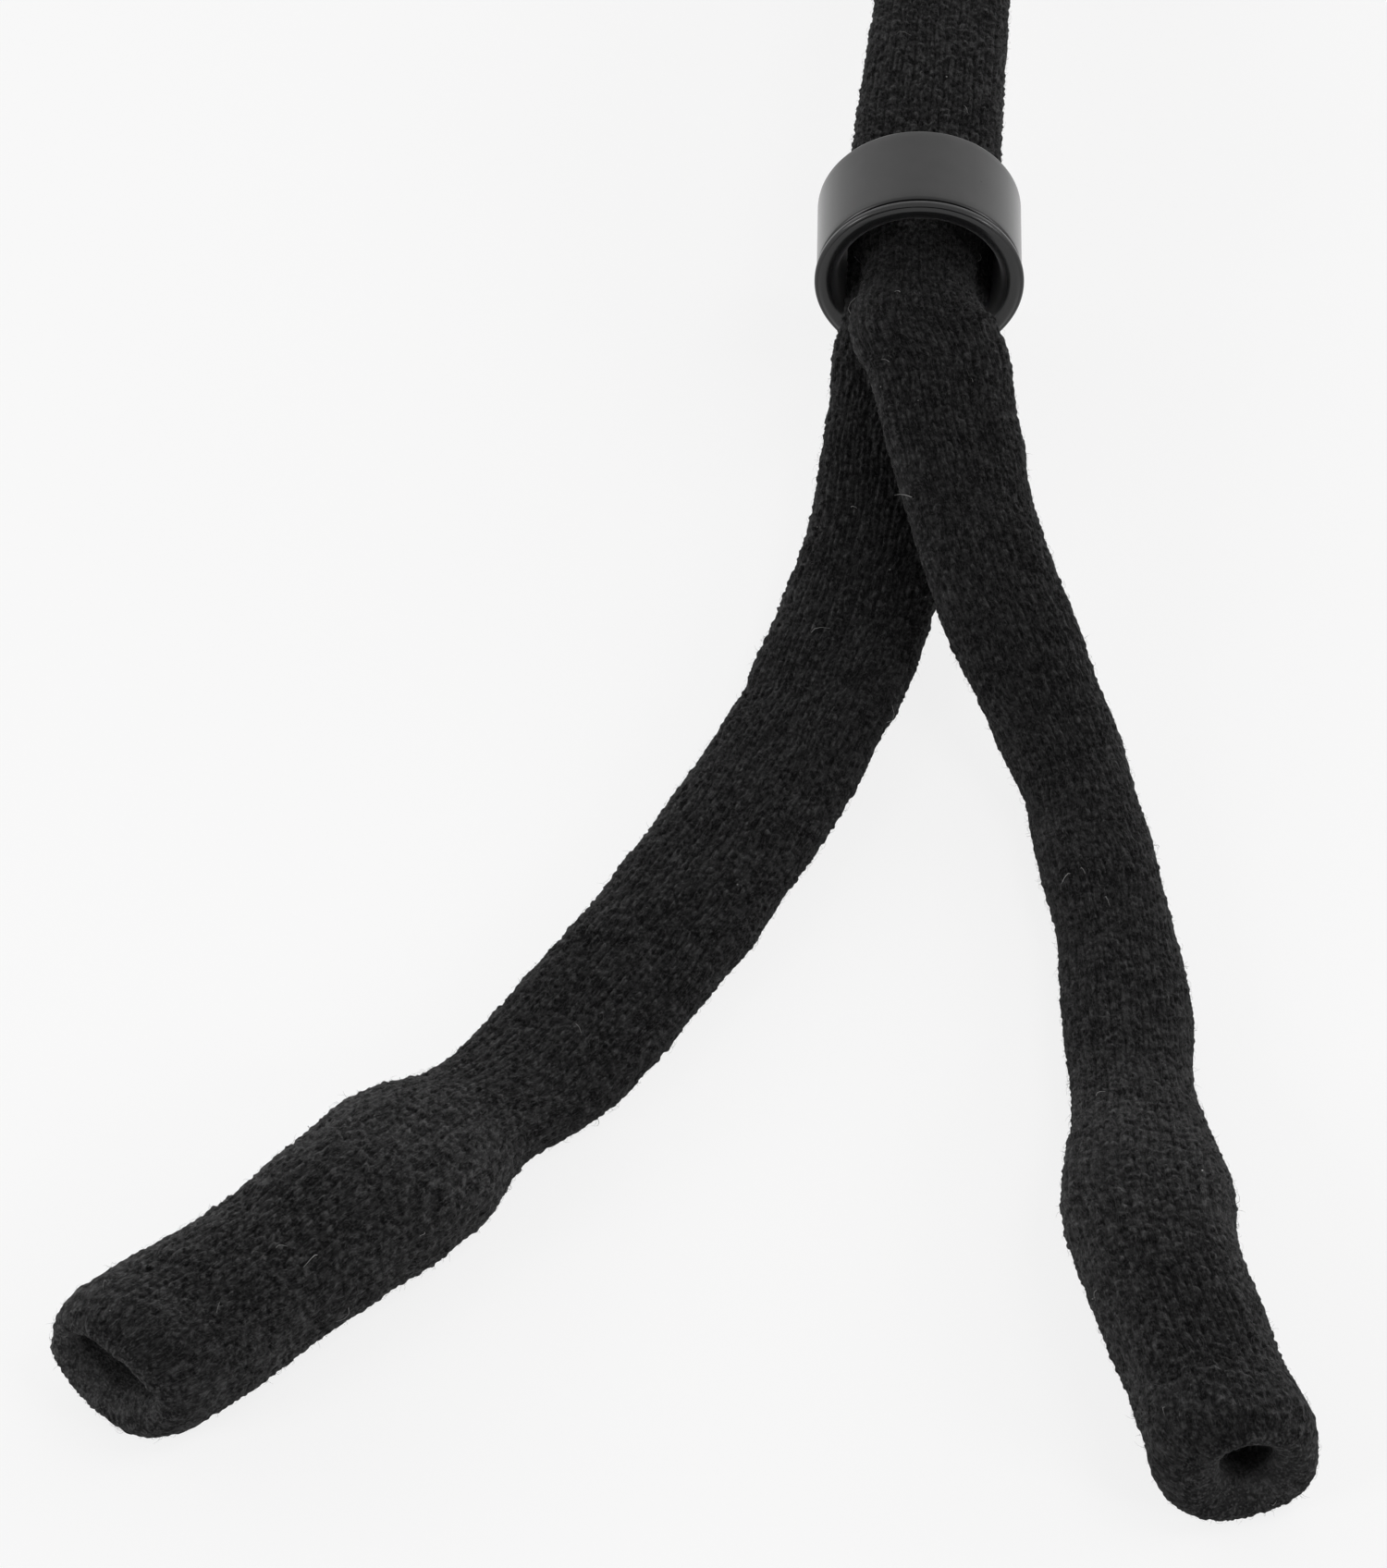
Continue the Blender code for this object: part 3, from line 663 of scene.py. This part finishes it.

# %% What each piece hides, and the joint that it crosses
STANDS_FOR = {
    "left_socket_knit": ("left_temple_socket",),
    "left_leg_knit": ("left_leg", "lower_run"),
    "lower_loop_knit": ("neck_loop",),
    "upper_loop_knit": ("neck_loop",),
    "right_leg_knit": ("right_leg", "upper_run"),
    "right_socket_knit": ("right_temple_socket",),
}
LEG_BEND = (-0.0005, -0.0160)
NECK_BEND = (NECK_HINGE_Y - 0.0080, NECK_HINGE_Y + 0.0080)
SOCKET_BEND = 0.0100


def bend_along_y(reach):
    """Start and end of a bend that lies along the doubled stretch."""
    return [Vector(MOUTH) + Vector((0, y, 0)) for y in reach]


def bend_at_socket(joint, upper):
    """Start and end of a bend at a socket's hinge, along the strap and towards its mouth."""
    place = Vector(joints[joint]["pos_m"])
    distance = nearest_distance(*joints[joint]["pos_m"][:2], upper)
    reach = Vector(strap_at(np.array([distance]))[1][0]) * SOCKET_BEND * (1 if upper else -1)
    return [place - reach, place + reach]


BENDS = {
    "left_socket_knit": ("left_leg", "left_socket", *bend_at_socket("left_socket_bend", False)),
    "left_leg_knit": ("strap", "left_leg", *bend_along_y(LEG_BEND)),
    "lower_loop_knit": ("strap", "neck", *bend_along_y(NECK_BEND)),
    "upper_loop_knit": ("strap", "neck", *bend_along_y(NECK_BEND)),
    "right_leg_knit": ("strap", "right_leg", *bend_along_y(LEG_BEND)),
    "right_socket_knit": ("right_leg", "right_socket", *bend_at_socket("right_socket_bend", True)),
}
for name, piece in pieces.items():
    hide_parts(*STANDS_FOR[name])
    first_body, second_body, start, end = BENDS[name]
    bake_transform(piece)
print("bends", {name: bend[:2] for name, bend in BENDS.items()})

# %% [markdown]
# ## Fuzz and lint
#
# Knitted yarn is hairy: short fibres soften its outline, and a few pale bits of lint lie on it. Particle
# hair would be lost in an export, so the fibres are thin three-sided spikes, all made as one array. A fibre
# starts at a random point of the knit, leaves along the normal and curls over.

# %% Fibres as one array
FIBRE_RINGS = 4
FIBRE_SIDES = 3
FIBRES_PER_METRE = 50000
LOOP_FIBRES_PER_METRE = 30000
FIBRE_LENGTH = (0.00035, 0.0011)
FIBRE_RADIUS = 0.000011
FIBRE_TIP = 0.3
LINT_PER_METRE = 180
LINT_LENGTH = (0.0005, 0.0022)
LINT_RADIUS = 0.000030
ASLANT = np.array((0.31, 0.55, 0.77))


def curled(base, normal, way, length, lean, curl):
    """Points base + normal h + way w on a curl: h = length (t - lean t^2) and w = length curl t^1.5."""
    t = np.linspace(0, 1, FIBRE_RINGS)[None, :, None]
    height = length[:, None, None] * (t - lean[:, None, None] * t**2)
    across = length[:, None, None] * curl[:, None, None] * t**1.5
    return base[:, None, :] + normal[:, None, :] * height + way[:, None, :] * across


def spikes(middles, radius):
    """Rings of FIBRE_SIDES points round each curl, narrowing to the tip, as points and faces."""
    count = len(middles)
    ahead = np.gradient(middles, axis=1)
    ahead /= np.linalg.norm(ahead, axis=2, keepdims=True)
    other = np.cross(ahead, ASLANT)
    other /= np.linalg.norm(other, axis=2, keepdims=True)
    third = np.cross(ahead, other)
    turn = np.arange(FIBRE_SIDES) * 2 * np.pi / FIBRE_SIDES
    taper = np.linspace(1, FIBRE_TIP, FIBRE_RINGS)[None, :, None, None] * radius[:, None, None, None]
    c, s = np.cos(turn)[:, None], np.sin(turn)[:, None]
    round_it = c * other[:, :, None, :] + s * third[:, :, None, :]
    points = (middles[:, :, None, :] + taper * round_it).reshape(-1, 3)
    ring = np.arange(FIBRE_RINGS * FIBRE_SIDES).reshape(FIBRE_RINGS, FIBRE_SIDES)
    a, b = ring[:-1], ring[1:]
    sides = np.stack([a, np.roll(a, -1, axis=1), np.roll(b, -1, axis=1), b], axis=2).reshape(-1, 4)
    triangles = np.vstack([sides[:, (0, 1, 2)], sides[:, (0, 2, 3)], ring[:1, ::-1], ring[-1:]])
    offset = np.arange(count)[:, None, None] * FIBRE_RINGS * FIBRE_SIDES
    return points, (triangles[None] + offset).reshape(-1, 3)


print("triangles of a fibre", FIBRE_SIDES * (FIBRE_RINGS - 1) * 2 + 2)

# %% Fuzz on one piece of knit
FLAT_SHARE = 0.7
FLAT_LEAN, FLAT_CURL = (0.86, 0.98), (0.7, 1.0)
LOOSE_LEAN, LOOSE_CURL = (0.25, 0.95), (0.2, 0.9)
LINT_TONE = (0.3, 1.0)
FIBRE_TONE = 0.22


def fuzz_mesh(name, knit, outside, seed):
    """Dark fibres and pale lint on one piece of knit. Most fibres and all the lint lie nearly flat."""
    rng = np.random.default_rng(seed)
    steps = np.diff(knit["points"][outside].mean(axis=1), axis=0)
    length = len(outside) * float(np.linalg.norm(steps, axis=1).mean())
    density = LOOP_FIBRES_PER_METRE if "loop" in name else FIBRES_PER_METRE
    fibres, lint = round(length * density), round(length * LINT_PER_METRE)
    count = fibres + lint
    row = outside[rng.integers(0, len(outside), count)]
    column = rng.integers(0, COLUMNS, count)
    base = knit["points"][row, column]
    normal = knit["normal"][row, column]
    way = np.cross(normal, rng.normal(size=(count, 3)))
    way /= np.linalg.norm(way, axis=1, keepdims=True)
    pale = np.arange(count) >= fibres
    size = rng.uniform(0, 1, count)
    lint_long = LINT_LENGTH[0] + size * np.ptp(LINT_LENGTH)
    fibre_long = FIBRE_LENGTH[0] + size * np.ptp(FIBRE_LENGTH)
    long = np.where(pale, lint_long, fibre_long)
    flat = pale | (rng.uniform(0, 1, count) < FLAT_SHARE)
    lean = np.where(flat, rng.uniform(*FLAT_LEAN, count), rng.uniform(*LOOSE_LEAN, count))
    curl = np.where(flat, rng.uniform(*FLAT_CURL, count), rng.uniform(*LOOSE_CURL, count))
    middles = curled(base, normal, way, long, lean, curl)
    middles[:, :, 2] = np.maximum(middles[:, :, 2], FLOOR)
    points, triangles = spikes(middles, np.where(pale, LINT_RADIUS, FIBRE_RADIUS))
    mesh = bpy.data.meshes.new(name)
    mesh.from_pydata(points.tolist(), [], triangles.tolist())
    tone = np.where(pale, rng.uniform(*LINT_TONE, count), FIBRE_TONE * rng.uniform(0, 1, count) ** 3)
    shade = np.repeat(tone, FIBRE_RINGS * FIBRE_SIDES)
    mesh.attributes.new("lint", "FLOAT", "POINT").data.foreach_set("value", shade.astype(np.float32))
    return mesh


FIRST_FUZZ_SEED = 31
fuzz = {}
for seed, (name, knit) in enumerate(knits.items(), start=FIRST_FUZZ_SEED):
    distance = rows_of[name]["distance"]
    outside = np.flatnonzero(np.r_[True, np.abs(np.diff(distance)) < COURSE])
    fuzz_name = name.replace("knit", "fuzz")
    fuzz[name] = placed(fuzz_name, fuzz_mesh(fuzz_name, knit, outside, seed))
    first_body, second_body, start, end = BENDS[name]
    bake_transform(fuzz[name])
    print(fuzz_name, "triangles", len(fuzz[name].data.polygons))

# %% [markdown]
# A simulation can only let the strap hang if it knows what is limp. So for each piece of knit the path
# from the end that is held is worked out, with its length and what its far end is.

# %% Paths and lengths of the strap's pieces
PATH_POINTS = 60
HELD_AT_FAR_END = ("left_socket_knit", "left_leg_knit", "upper_loop_knit")
for name, piece in pieces.items():
    path = strap_at(np.linspace(*SPANS[name], PATH_POINTS))[0]
    if name in HELD_AT_FAR_END:
        path = path[::-1]
    reach = float(np.linalg.norm(np.diff(path, axis=0), axis=1).sum())
    far_end = "bare" if "socket" in name else "object"
    print(name, "length", round(reach, 4), "ends", far_end)

# %% [markdown]
# ## The slider
#
# The slider is a grey satin band pressed over a glossy black liner, whose lip is rolled outwards at the
# front. Both are turned parts, so each is a profile of distances behind the mouth and radii, carried round
# the slider's axis.

# %% Turned pieces
SLIDER_SEGMENTS = 160
SLIDER_SKEW = math.radians(3.6)
SLIDER_LENGTH = 0.0111
SLIDER_Z = 0.009881
SHARP_ANGLE = math.radians(35)
MATTE_PAINTED_LIGHT_DEPTH = 0.0010


def arc(centre, radii, start, end, count):
    """Points of a round corner: centre + radii (cos, sin), from one angle to another, in degrees."""
    turn = np.radians(np.linspace(start, end, count))
    return np.array(centre) + np.array(radii) * np.column_stack([np.cos(turn), np.sin(turn)])


def turned(name, profile, matte_painted_light_below=0.0):
    """Carries a closed profile of distance and radius round the slider's axis, which is skewed about the
    slider's middle: middle + distance axis + radius (cos turn sideways + sin turn up). What is deeper than
    the lip, in front of the far end and nearer to the axis than the given radius is marked: there the
    liner is matte and painted pale, a painted light on the shaded inside of the bore."""
    distance, radius = np.array(profile).T
    turn = np.arange(SLIDER_SEGMENTS) * 2 * np.pi / SLIDER_SEGMENTS
    axis = np.array((-math.sin(SLIDER_SKEW), math.cos(SLIDER_SKEW), 0.0))
    sideways = np.array((math.cos(SLIDER_SKEW), math.sin(SLIDER_SKEW), 0.0))
    up = np.array((0.0, 0.0, 1.0))
    middle = MOUTH + (0, SLIDER_LENGTH / 2, SLIDER_Z)
    spoke = np.cos(turn)[:, None] * sideways + np.sin(turn)[:, None] * up
    behind = (distance - SLIDER_LENGTH / 2)[None, :, None]
    points = middle + behind * axis + radius[None, :, None] * spoke[:, None]
    grid = np.arange(points.shape[0] * points.shape[1]).reshape(points.shape[:2])
    a, b = grid, np.roll(grid, -1, axis=0)
    quads = np.stack([a, np.roll(a, -1, axis=1), np.roll(b, -1, axis=1), b], axis=2).reshape(-1, 4)
    mesh = bpy.data.meshes.new(name)
    mesh.from_pydata(points.reshape(-1, 3).tolist(), [], quads.tolist())
    mesh.shade_smooth()
    mesh.set_sharp_from_angle(angle=SHARP_ANGLE)
    # Behind the lip the bore is matte and painted pale: a painted light on its shaded inside.
    matte_painted_light = eased(distance / MATTE_PAINTED_LIGHT_DEPTH) * (distance < SLIDER_LENGTH) * (radius < matte_painted_light_below)
    matte_painted_light_points = np.tile(matte_painted_light, SLIDER_SEGMENTS).astype(np.float32)
    mesh.attributes.new("matte_painted_light", "FLOAT", "POINT").data.foreach_set("value", matte_painted_light_points)
    return placed(name, mesh)


print("segments round the slider", SLIDER_SEGMENTS)

# %% The liner's profile, from the bore's far end round the lip and back
BORE = 0.00772
LIP = 0.00988
SLEEVE = 0.00848
LIP_LENGTH = 0.00105
LIP_FRONT, LIP_FRONT_ROUND = 0.00050, 0.00030
LIP_BACK, LIP_BACK_ROUND = 0.00060, 0.00045
FLARE_START = 0.0026
FLARE = (0.0012, 0.0013)
FAR_RIM = 0.0010
# Inside this radius, behind the lip, the bore is painted pale: a painted light.
MATTE_PAINTED_LIGHT_BELOW = 0.0089
liner_profile = np.vstack([
    [(SLIDER_LENGTH, BORE)],
    [(SLIDER_LENGTH - FAR_RIM, BORE)],
    [(FLARE_START, BORE)],
    arc((FLARE[0], BORE + FLARE[1]), FLARE, 270, 170, 30),
    arc((LIP_FRONT, LIP - LIP_FRONT_ROUND), (LIP_FRONT_ROUND, LIP_FRONT_ROUND), 190, 90, 12),
    arc((LIP_BACK, LIP - LIP_BACK_ROUND), (LIP_BACK_ROUND, LIP_BACK_ROUND), 90, 0, 9)[1:],
    [(LIP_LENGTH, SLEEVE)],
    [(SLIDER_LENGTH, SLEEVE)],
])
liner = turned("slider_liner_turned", liner_profile, matte_painted_light_below=MATTE_PAINTED_LIGHT_BELOW)
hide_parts("slider_liner")
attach(liner, "slider")
print("liner faces", len(liner.data.polygons))

# %% The band's profile
BAND_INSIDE = 0.00868
BAND_OUTSIDE = 0.00968
BAND_FRONT = 0.00138
EDGE = 0.00030
BAND_STEPS = 14
flank = np.linspace(BAND_FRONT + EDGE, SLIDER_LENGTH - EDGE, BAND_STEPS)[1:-1]
band_profile = np.vstack([
    [(SLIDER_LENGTH, BAND_INSIDE)],
    [(BAND_FRONT, BAND_INSIDE)],
    arc((BAND_FRONT + EDGE, BAND_OUTSIDE - EDGE), (EDGE, EDGE), 180, 90, 8),
    np.column_stack([flank, np.full(len(flank), BAND_OUTSIDE)]),
    arc((SLIDER_LENGTH - EDGE, BAND_OUTSIDE - EDGE), (EDGE, EDGE), 90, 0, 8),
])
band = turned("slider_band_turned", band_profile)
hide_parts("slider_band")
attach(band, "slider")

# %% [markdown]
# ## Finishes
#
# A finish is a network of shader nodes, which is hard to read when written out node by node. So one small
# class wraps a socket and lets sums be written as in Python: each operator adds a Math node.

# %% Sums on sockets
class Wire:
    """An output socket of a material's nodes, or just its tree. Sums on it add Math nodes."""

    def __init__(self, tree, socket=None):
        self.tree, self.socket = tree, socket

    def node(self, kind, settings=None, inputs=None, output=0):
        """Adds a node of a type, with its settings set first and then its sockets' values or links."""
        made = self.tree.nodes.new(kind)
        for name, value in (settings or {}).items():
            setattr(made, name, value)
        for name, value in (inputs or {}).items():
            if isinstance(value, Wire):
                self.tree.links.new(value.socket, made.inputs[name])
            else:
                made.inputs[name].default_value = value
        return Wire(self.tree, made.outputs[output])

    def math(self, operation, first, second=0.0):
        return self.node("ShaderNodeMath", {"operation": operation}, {0: first, 1: second})

    def __add__(self, other):
        return self.math("ADD", self, other)

    def __sub__(self, other):
        return self.math("SUBTRACT", self, other)

    def __rsub__(self, other):
        return self.math("SUBTRACT", other, self)

    def __mul__(self, other):
        return self.math("MULTIPLY", self, other)

    __radd__, __rmul__ = __add__, __mul__

    def noise(self, place, scale, detail):
        """Cloudy values between 0 and 1, with about scale clouds in each unit of place."""
        return self.node("ShaderNodeTexNoise", {}, {"Vector": place, "Scale": scale, "Detail": detail})

    def attribute(self, name):
        """The values that a mesh keeps at its points under a name."""
        return self.node("ShaderNodeAttribute", {"attribute_name": name}, output="Fac")

    def above(self, low, high):
        """0 below low, 1 above high and eased between them."""
        limits = {"Value": self, "From Min": low, "From Max": high}
        return self.node("ShaderNodeMapRange", {"interpolation_type": "SMOOTHSTEP"}, limits)

    def mix(self, first, second):
        """A colour from first, where this is 0, to second, where it is 1."""
        ends = {0: self, 6: first, 7: second}
        return self.node("ShaderNodeMix", {"data_type": "RGBA"}, ends, output=2)


def finish_of(name, constants):
    """A new material's tree and its main shader, with the values that are the same all over."""
    made = bpy.data.materials.new(name)
    made.use_nodes = True
    shader = made.node_tree.nodes["Principled BSDF"]
    for socket, value in constants.items():
        shader.inputs[socket].default_value = value
    return made, Wire(made.node_tree), shader


def feed(shader, links):
    """Links what changes over the surface to the shader."""
    for socket, wire in links.items():
        wire.tree.links.new(wire.socket, shader.inputs[socket])


print("sums on sockets: +, - and *")

# %% [markdown]
# ### Black knitted yarn
#
# Black yarn is never even: each stitch has a slightly different tone, fibres run along it in streaks,
# and specks of lint shine out. The stitch map gives the streaks their direction. The valleys between
# stitches are painted darker from the mesh's stitch height, a painted shade, and the lining inside the
# holes is painted paler, a painted light. A soft sheen stands for the finest hairs.

# %% The yarn's finish
YARN_DARK = (0.0022, 0.0022, 0.0024, 1)
YARN_LIGHT = (0.061, 0.0604, 0.061, 1)
LINT_COLOUR = (0.45, 0.445, 0.44, 1)
STREAKS = (4.6, 1.9, 1.0)


def yarn_finish():
    """Streaked black yarn with painted shade in its valleys, uneven stitches and specks of lint. The
    streaks
    follow the legs of the stitches: with c = |2 fraction(wale) - 1|, they run along course - SLANT c. In
    the lining, where stitches are pinched, hairs take the place of the streaks, and the lining is painted
    paler, a painted light inside the holes. The yarn is also drawn paler towards the ends."""
    constants = {"Specular IOR Level": 0.06, "Sheen Weight": 0.02, "Sheen Roughness": 0.5}
    made, tree, shader = finish_of("knitted yarn", constants)
    stitch = tree.node("ShaderNodeUVMap", {"uv_map": "stitch"})
    split = tree.node("ShaderNodeSeparateXYZ", {}, {0: stitch}).socket.node
    wale, course = (Wire(tree.tree, split.outputs[axis]) for axis in ("X", "Y"))
    place = tree.node("ShaderNodeTexCoord", output="Object")
    height = tree.attribute("stitch_height")
    slanted = wale.math("ABSOLUTE", 2 * wale.math("FRACT", wale) - 1) * SLANT
    leg = tree.node("ShaderNodeCombineXYZ", {}, {0: 2 * wale, 1: course - slanted, 2: 0.0})
    stretched = tree.node("ShaderNodeVectorMath", {"operation": "MULTIPLY"}, {0: leg, 1: STREAKS})
    streaks = tree.noise(stretched, 1.0, 4.0)
    one_leg = tree.node("ShaderNodeVectorMath", {"operation": "FLOOR"}, {0: leg})
    tone = tree.node("ShaderNodeTexWhiteNoise", {"noise_dimensions": "2D"}, {"Vector": one_leg})
    hair = tree.noise(place, 4200.0, 2.0)
    patch = tree.noise(place, 420.0, 2.0)
    mottle = tree.noise(place, 1500.0, 2.0)
    # The yarn is drawn paler towards the ends of the strap.
    end_paleness = tree.attribute("end_paleness")
    lining = tree.attribute("lining")
    streaks = streaks + lining.above(0.0, 0.2) * (hair - streaks)
    fibres = 0.50 * streaks.above(0.44, 0.70) + 0.35 * hair.above(0.46, 0.70)
    fibres = fibres + 0.45 * mottle.above(0.40, 0.66)
    # Painted shade: the yarn is painted darker where the stitch height is low, in the valleys between
    # stitches.
    lit = (0.2 + 0.8 * height) * (fibres + 0.20 * tone + 0.30 * patch - 0.24) * (1 + 0.25 * end_paleness)
    # Painted light: the lining inside the socket holes, which lies in shade, is painted paler by 0.35.
    yarn = (lit + 0.03 * end_paleness + 0.35 * lining).mix(YARN_DARK, YARN_LIGHT)
    spot = tree.node("ShaderNodeTexVoronoi", {}, {"Vector": place, "Scale": 420.0, "Randomness": 1.0})
    chance = tree.noise(place, 900.0, 0.0)
    speck = (1 - spot.above(0.020, 0.045)) * chance.above(0.60, 0.66)
    colour = (0.8 * speck).mix(yarn, LINT_COLOUR)
    relief = streaks + 0.6 * hair
    bump = tree.node("ShaderNodeBump", {}, {"Strength": 0.8, "Distance": 0.00012, "Height": relief})
    feed(shader, {"Base Color": colour, "Roughness": 0.72 + 0.2 * streaks, "Normal": bump})
    return made


yarn = yarn_finish()
for piece in pieces.values():
    piece.data.materials.append(yarn)
print("yarn nodes", len(yarn.node_tree.nodes))

# %% Fibres and lint
FIBRE_COLOUR = (0.010, 0.010, 0.0103, 1)


def fibre_finish():
    """Dark fibres, with pale lint where the mesh says so."""
    made, tree, shader = finish_of("yarn fibres", {"Specular IOR Level": 0.1, "Roughness": 0.7})
    feed(shader, {"Base Color": tree.attribute("lint").mix(FIBRE_COLOUR, LINT_COLOUR)})
    return made


fibre = fibre_finish()
for piece in fuzz.values():
    piece.data.materials.append(fibre)
print("fibre nodes", len(fibre.node_tree.nodes))

# %% [markdown]
# ### Satin band and glossy liner
#
# The band is moulded with a fine satin grain, which spreads its reflections into a soft gradient. The liner
# is the same kind of plastic in black, polished at the lip and matte inside the bore, where it is also
# painted pale grey: a painted light on the bore's shaded inside.

# %% The band's and the liner's finish
BAND_COLOUR = (0.007, 0.0069, 0.007, 1)
BAND_PALE = (0.012, 0.0119, 0.012, 1)
LINER_COLOUR = (0.0090, 0.0090, 0.0093, 1)
LINER_DUST = (0.016, 0.016, 0.0165, 1)
# Pale grey painted inside the bore: a painted light on its shaded inside.
LINER_PAINTED_LIGHT = (0.19, 0.19, 0.193, 1)


def band_finish():
    """Satin grey plastic: fine grain in the bump, faint cloudiness in the colour and roughness."""
    constants = {"Specular IOR Level": 0.12, "Coat Weight": 0.68, "Coat Roughness": 0.26}
    made, tree, shader = finish_of("satin band", constants)
    place = tree.node("ShaderNodeTexCoord", output="Object")
    grain = tree.noise(place, 9000.0, 2.0)
    cloud = tree.noise(place, 260.0, 3.0)
    colour = (0.7 * cloud.above(0.35, 0.7) + 0.3 * grain).mix(BAND_COLOUR, BAND_PALE)
    bump = tree.node("ShaderNodeBump", {}, {"Strength": 0.15, "Distance": 0.00002, "Height": grain})
    feed(shader, {"Base Color": colour, "Roughness": 0.25 + 0.08 * cloud, "Normal": bump})
    return made


def liner_finish():
    """Glossy black plastic with a little dust. Inside the bore it is matte and painted pale grey, a painted
    light on the bore's shaded inside.
    """
    made, tree, shader = finish_of("glossy liner", {"Specular IOR Level": 0.45})
    place = tree.node("ShaderNodeTexCoord", output="Object")
    dust = tree.noise(place, 3800.0, 3.0)
    cloud = tree.noise(place, 340.0, 2.0)
    matte_painted_light = tree.attribute("matte_painted_light")
    # Inside the bore the colour goes to the painted pale grey, a painted light, and the plastic is rougher.
    colour = matte_painted_light.mix(dust.above(0.60, 0.80).mix(LINER_COLOUR, LINER_DUST), LINER_PAINTED_LIGHT)
    feed(shader, {"Base Color": colour, "Roughness": 0.17 + 0.12 * cloud + 0.4 * matte_painted_light})
    return made


band.data.materials.append(band_finish())
liner.data.materials.append(liner_finish())
print("slider finishes", [m.name for m in (*band.data.materials, *liner.data.materials)])

# %% [markdown]
# ## Floor and light
#
# The strap lies on a white sheet in front of a broad bright window. The floor mixes a little real white
# paint, which takes the shadow, with plain white for the rays that show the background.

# %% The floor
FLOOR_SIZE = 3.0
FLOOR_DROP = 0.00005
FLOOR_COLOUR = (0.93, 0.93, 0.93, 1)
FLOOR_OWN_WHITE = 0.82


def seen_share(tree):
    """1 for the rays that show the background: the camera's, mirrored ones and those through something."""
    path = tree.node("ShaderNodeLightPath").socket.node
    straight, mirrored, through = (
        Wire(tree.tree, path.outputs[name])
        for name in ("Is Camera Ray", "Is Glossy Ray", "Is Transmission Ray")
    )
    return straight.math("MAXIMUM", straight.math("MAXIMUM", straight, mirrored), through)


def floor_finish():
    """White paint, mixed with plain white for the rays that show the background."""
    constants = {"Base Color": FLOOR_COLOUR, "Roughness": 0.9, "Specular IOR Level": 0.1}
    made, tree, shader = finish_of("white floor", constants)
    white = tree.node("ShaderNodeEmission", {}, {"Color": (1, 1, 1, 1), "Strength": 1.0})
    share = FLOOR_OWN_WHITE * seen_share(tree)
    paint = Wire(tree.tree, shader.outputs[0])
    mixed = tree.node("ShaderNodeMixShader", {}, {0: share, 1: paint, 2: white})
    tree.tree.links.new(mixed.socket, tree.tree.nodes["Material Output"].inputs["Surface"])
    return made


reach = FLOOR_SIZE / 2
floor_mesh = bpy.data.meshes.new("floor")
floor_corners = [(-reach, -reach), (reach, -reach), (reach, reach), (-reach, reach)]
floor_mesh.from_pydata([(x, y, -FLOOR_DROP) for x, y in floor_corners], [], [(0, 1, 2, 3)])
floor_mesh.materials.append(floor_finish())
floor = placed("floor", floor_mesh)
print("floor", FLOOR_SIZE, "m")

# %% [markdown]
# Two weak softboxes in front put soft highlights on the slider's flanks, and one overhead lights the knit
# without being mirrored.

# %% The lamps: place from the aim, size, power and whether it is mirrored
LAMPS = {
    "front left softbox": ((-0.52, -0.36, 0.24), (0.22, 0.22), 1.2, True),
    "front right softbox": ((0.66, -0.36, 0.24), (0.22, 0.22), 1.3, True),
    "top softbox": ((0.50, 0.16, 0.76), (0.40, 0.40), 1.2, False),
}
for name, (place, size, power, shows) in LAMPS.items():
    lamp = bpy.data.lights.new(name, "AREA")
    lamp.shape = "RECTANGLE"
    lamp.size, lamp.size_y = size
    lamp.energy = power
    holder = placed(name, lamp)
    holder.visible_glossy = shows
    holder.location = Vector(AIM) + Vector(place)
    holder.rotation_euler = (-Vector(place)).to_track_quat("-Z", "Y").to_euler()
print("lamps", list(LAMPS))

# %% [markdown]
# The room is pale at the horizon, darker overhead and very bright in the window behind the strap. Only the
# light that falls on things comes from it: the camera and reflections see plain white in its place.

# %% The room
ROOM_HORIZON = 0.40
ROOM_OVERHEAD = 0.10
ROOM_FADE = (0.05, 0.75)
WINDOW = 8.0
WINDOW_SIDE = (-0.30, 0.50)
WINDOW_TOP = (0.12, 0.45)
room = bpy.data.worlds.new("room")
room.use_nodes = True
bpy.context.scene.world = room
room_tree = Wire(room.node_tree)
background = room.node_tree.nodes["Background"]
background.inputs["Color"].default_value = (1, 1, 1, 1)
direction = room_tree.node("ShaderNodeTexCoord", output="Generated")
backward = room_tree.node("ShaderNodeSeparateXYZ", {}, {0: direction}, output="Y")
upward = Wire(room.node_tree, backward.socket.node.outputs["Z"])
window = backward.above(*WINDOW_SIDE) * (1 - upward.above(*WINDOW_TOP))
light = ROOM_HORIZON + (ROOM_OVERHEAD - ROOM_HORIZON) * upward.above(*ROOM_FADE) + WINDOW * window
seen = seen_share(room_tree)
room_level = light * (1 - seen) + seen
room.node_tree.links.new(room_level.socket, background.inputs["Strength"])
print("room", ROOM_HORIZON, "at the horizon,", ROOM_OVERHEAD, "overhead and", WINDOW, "in the window")
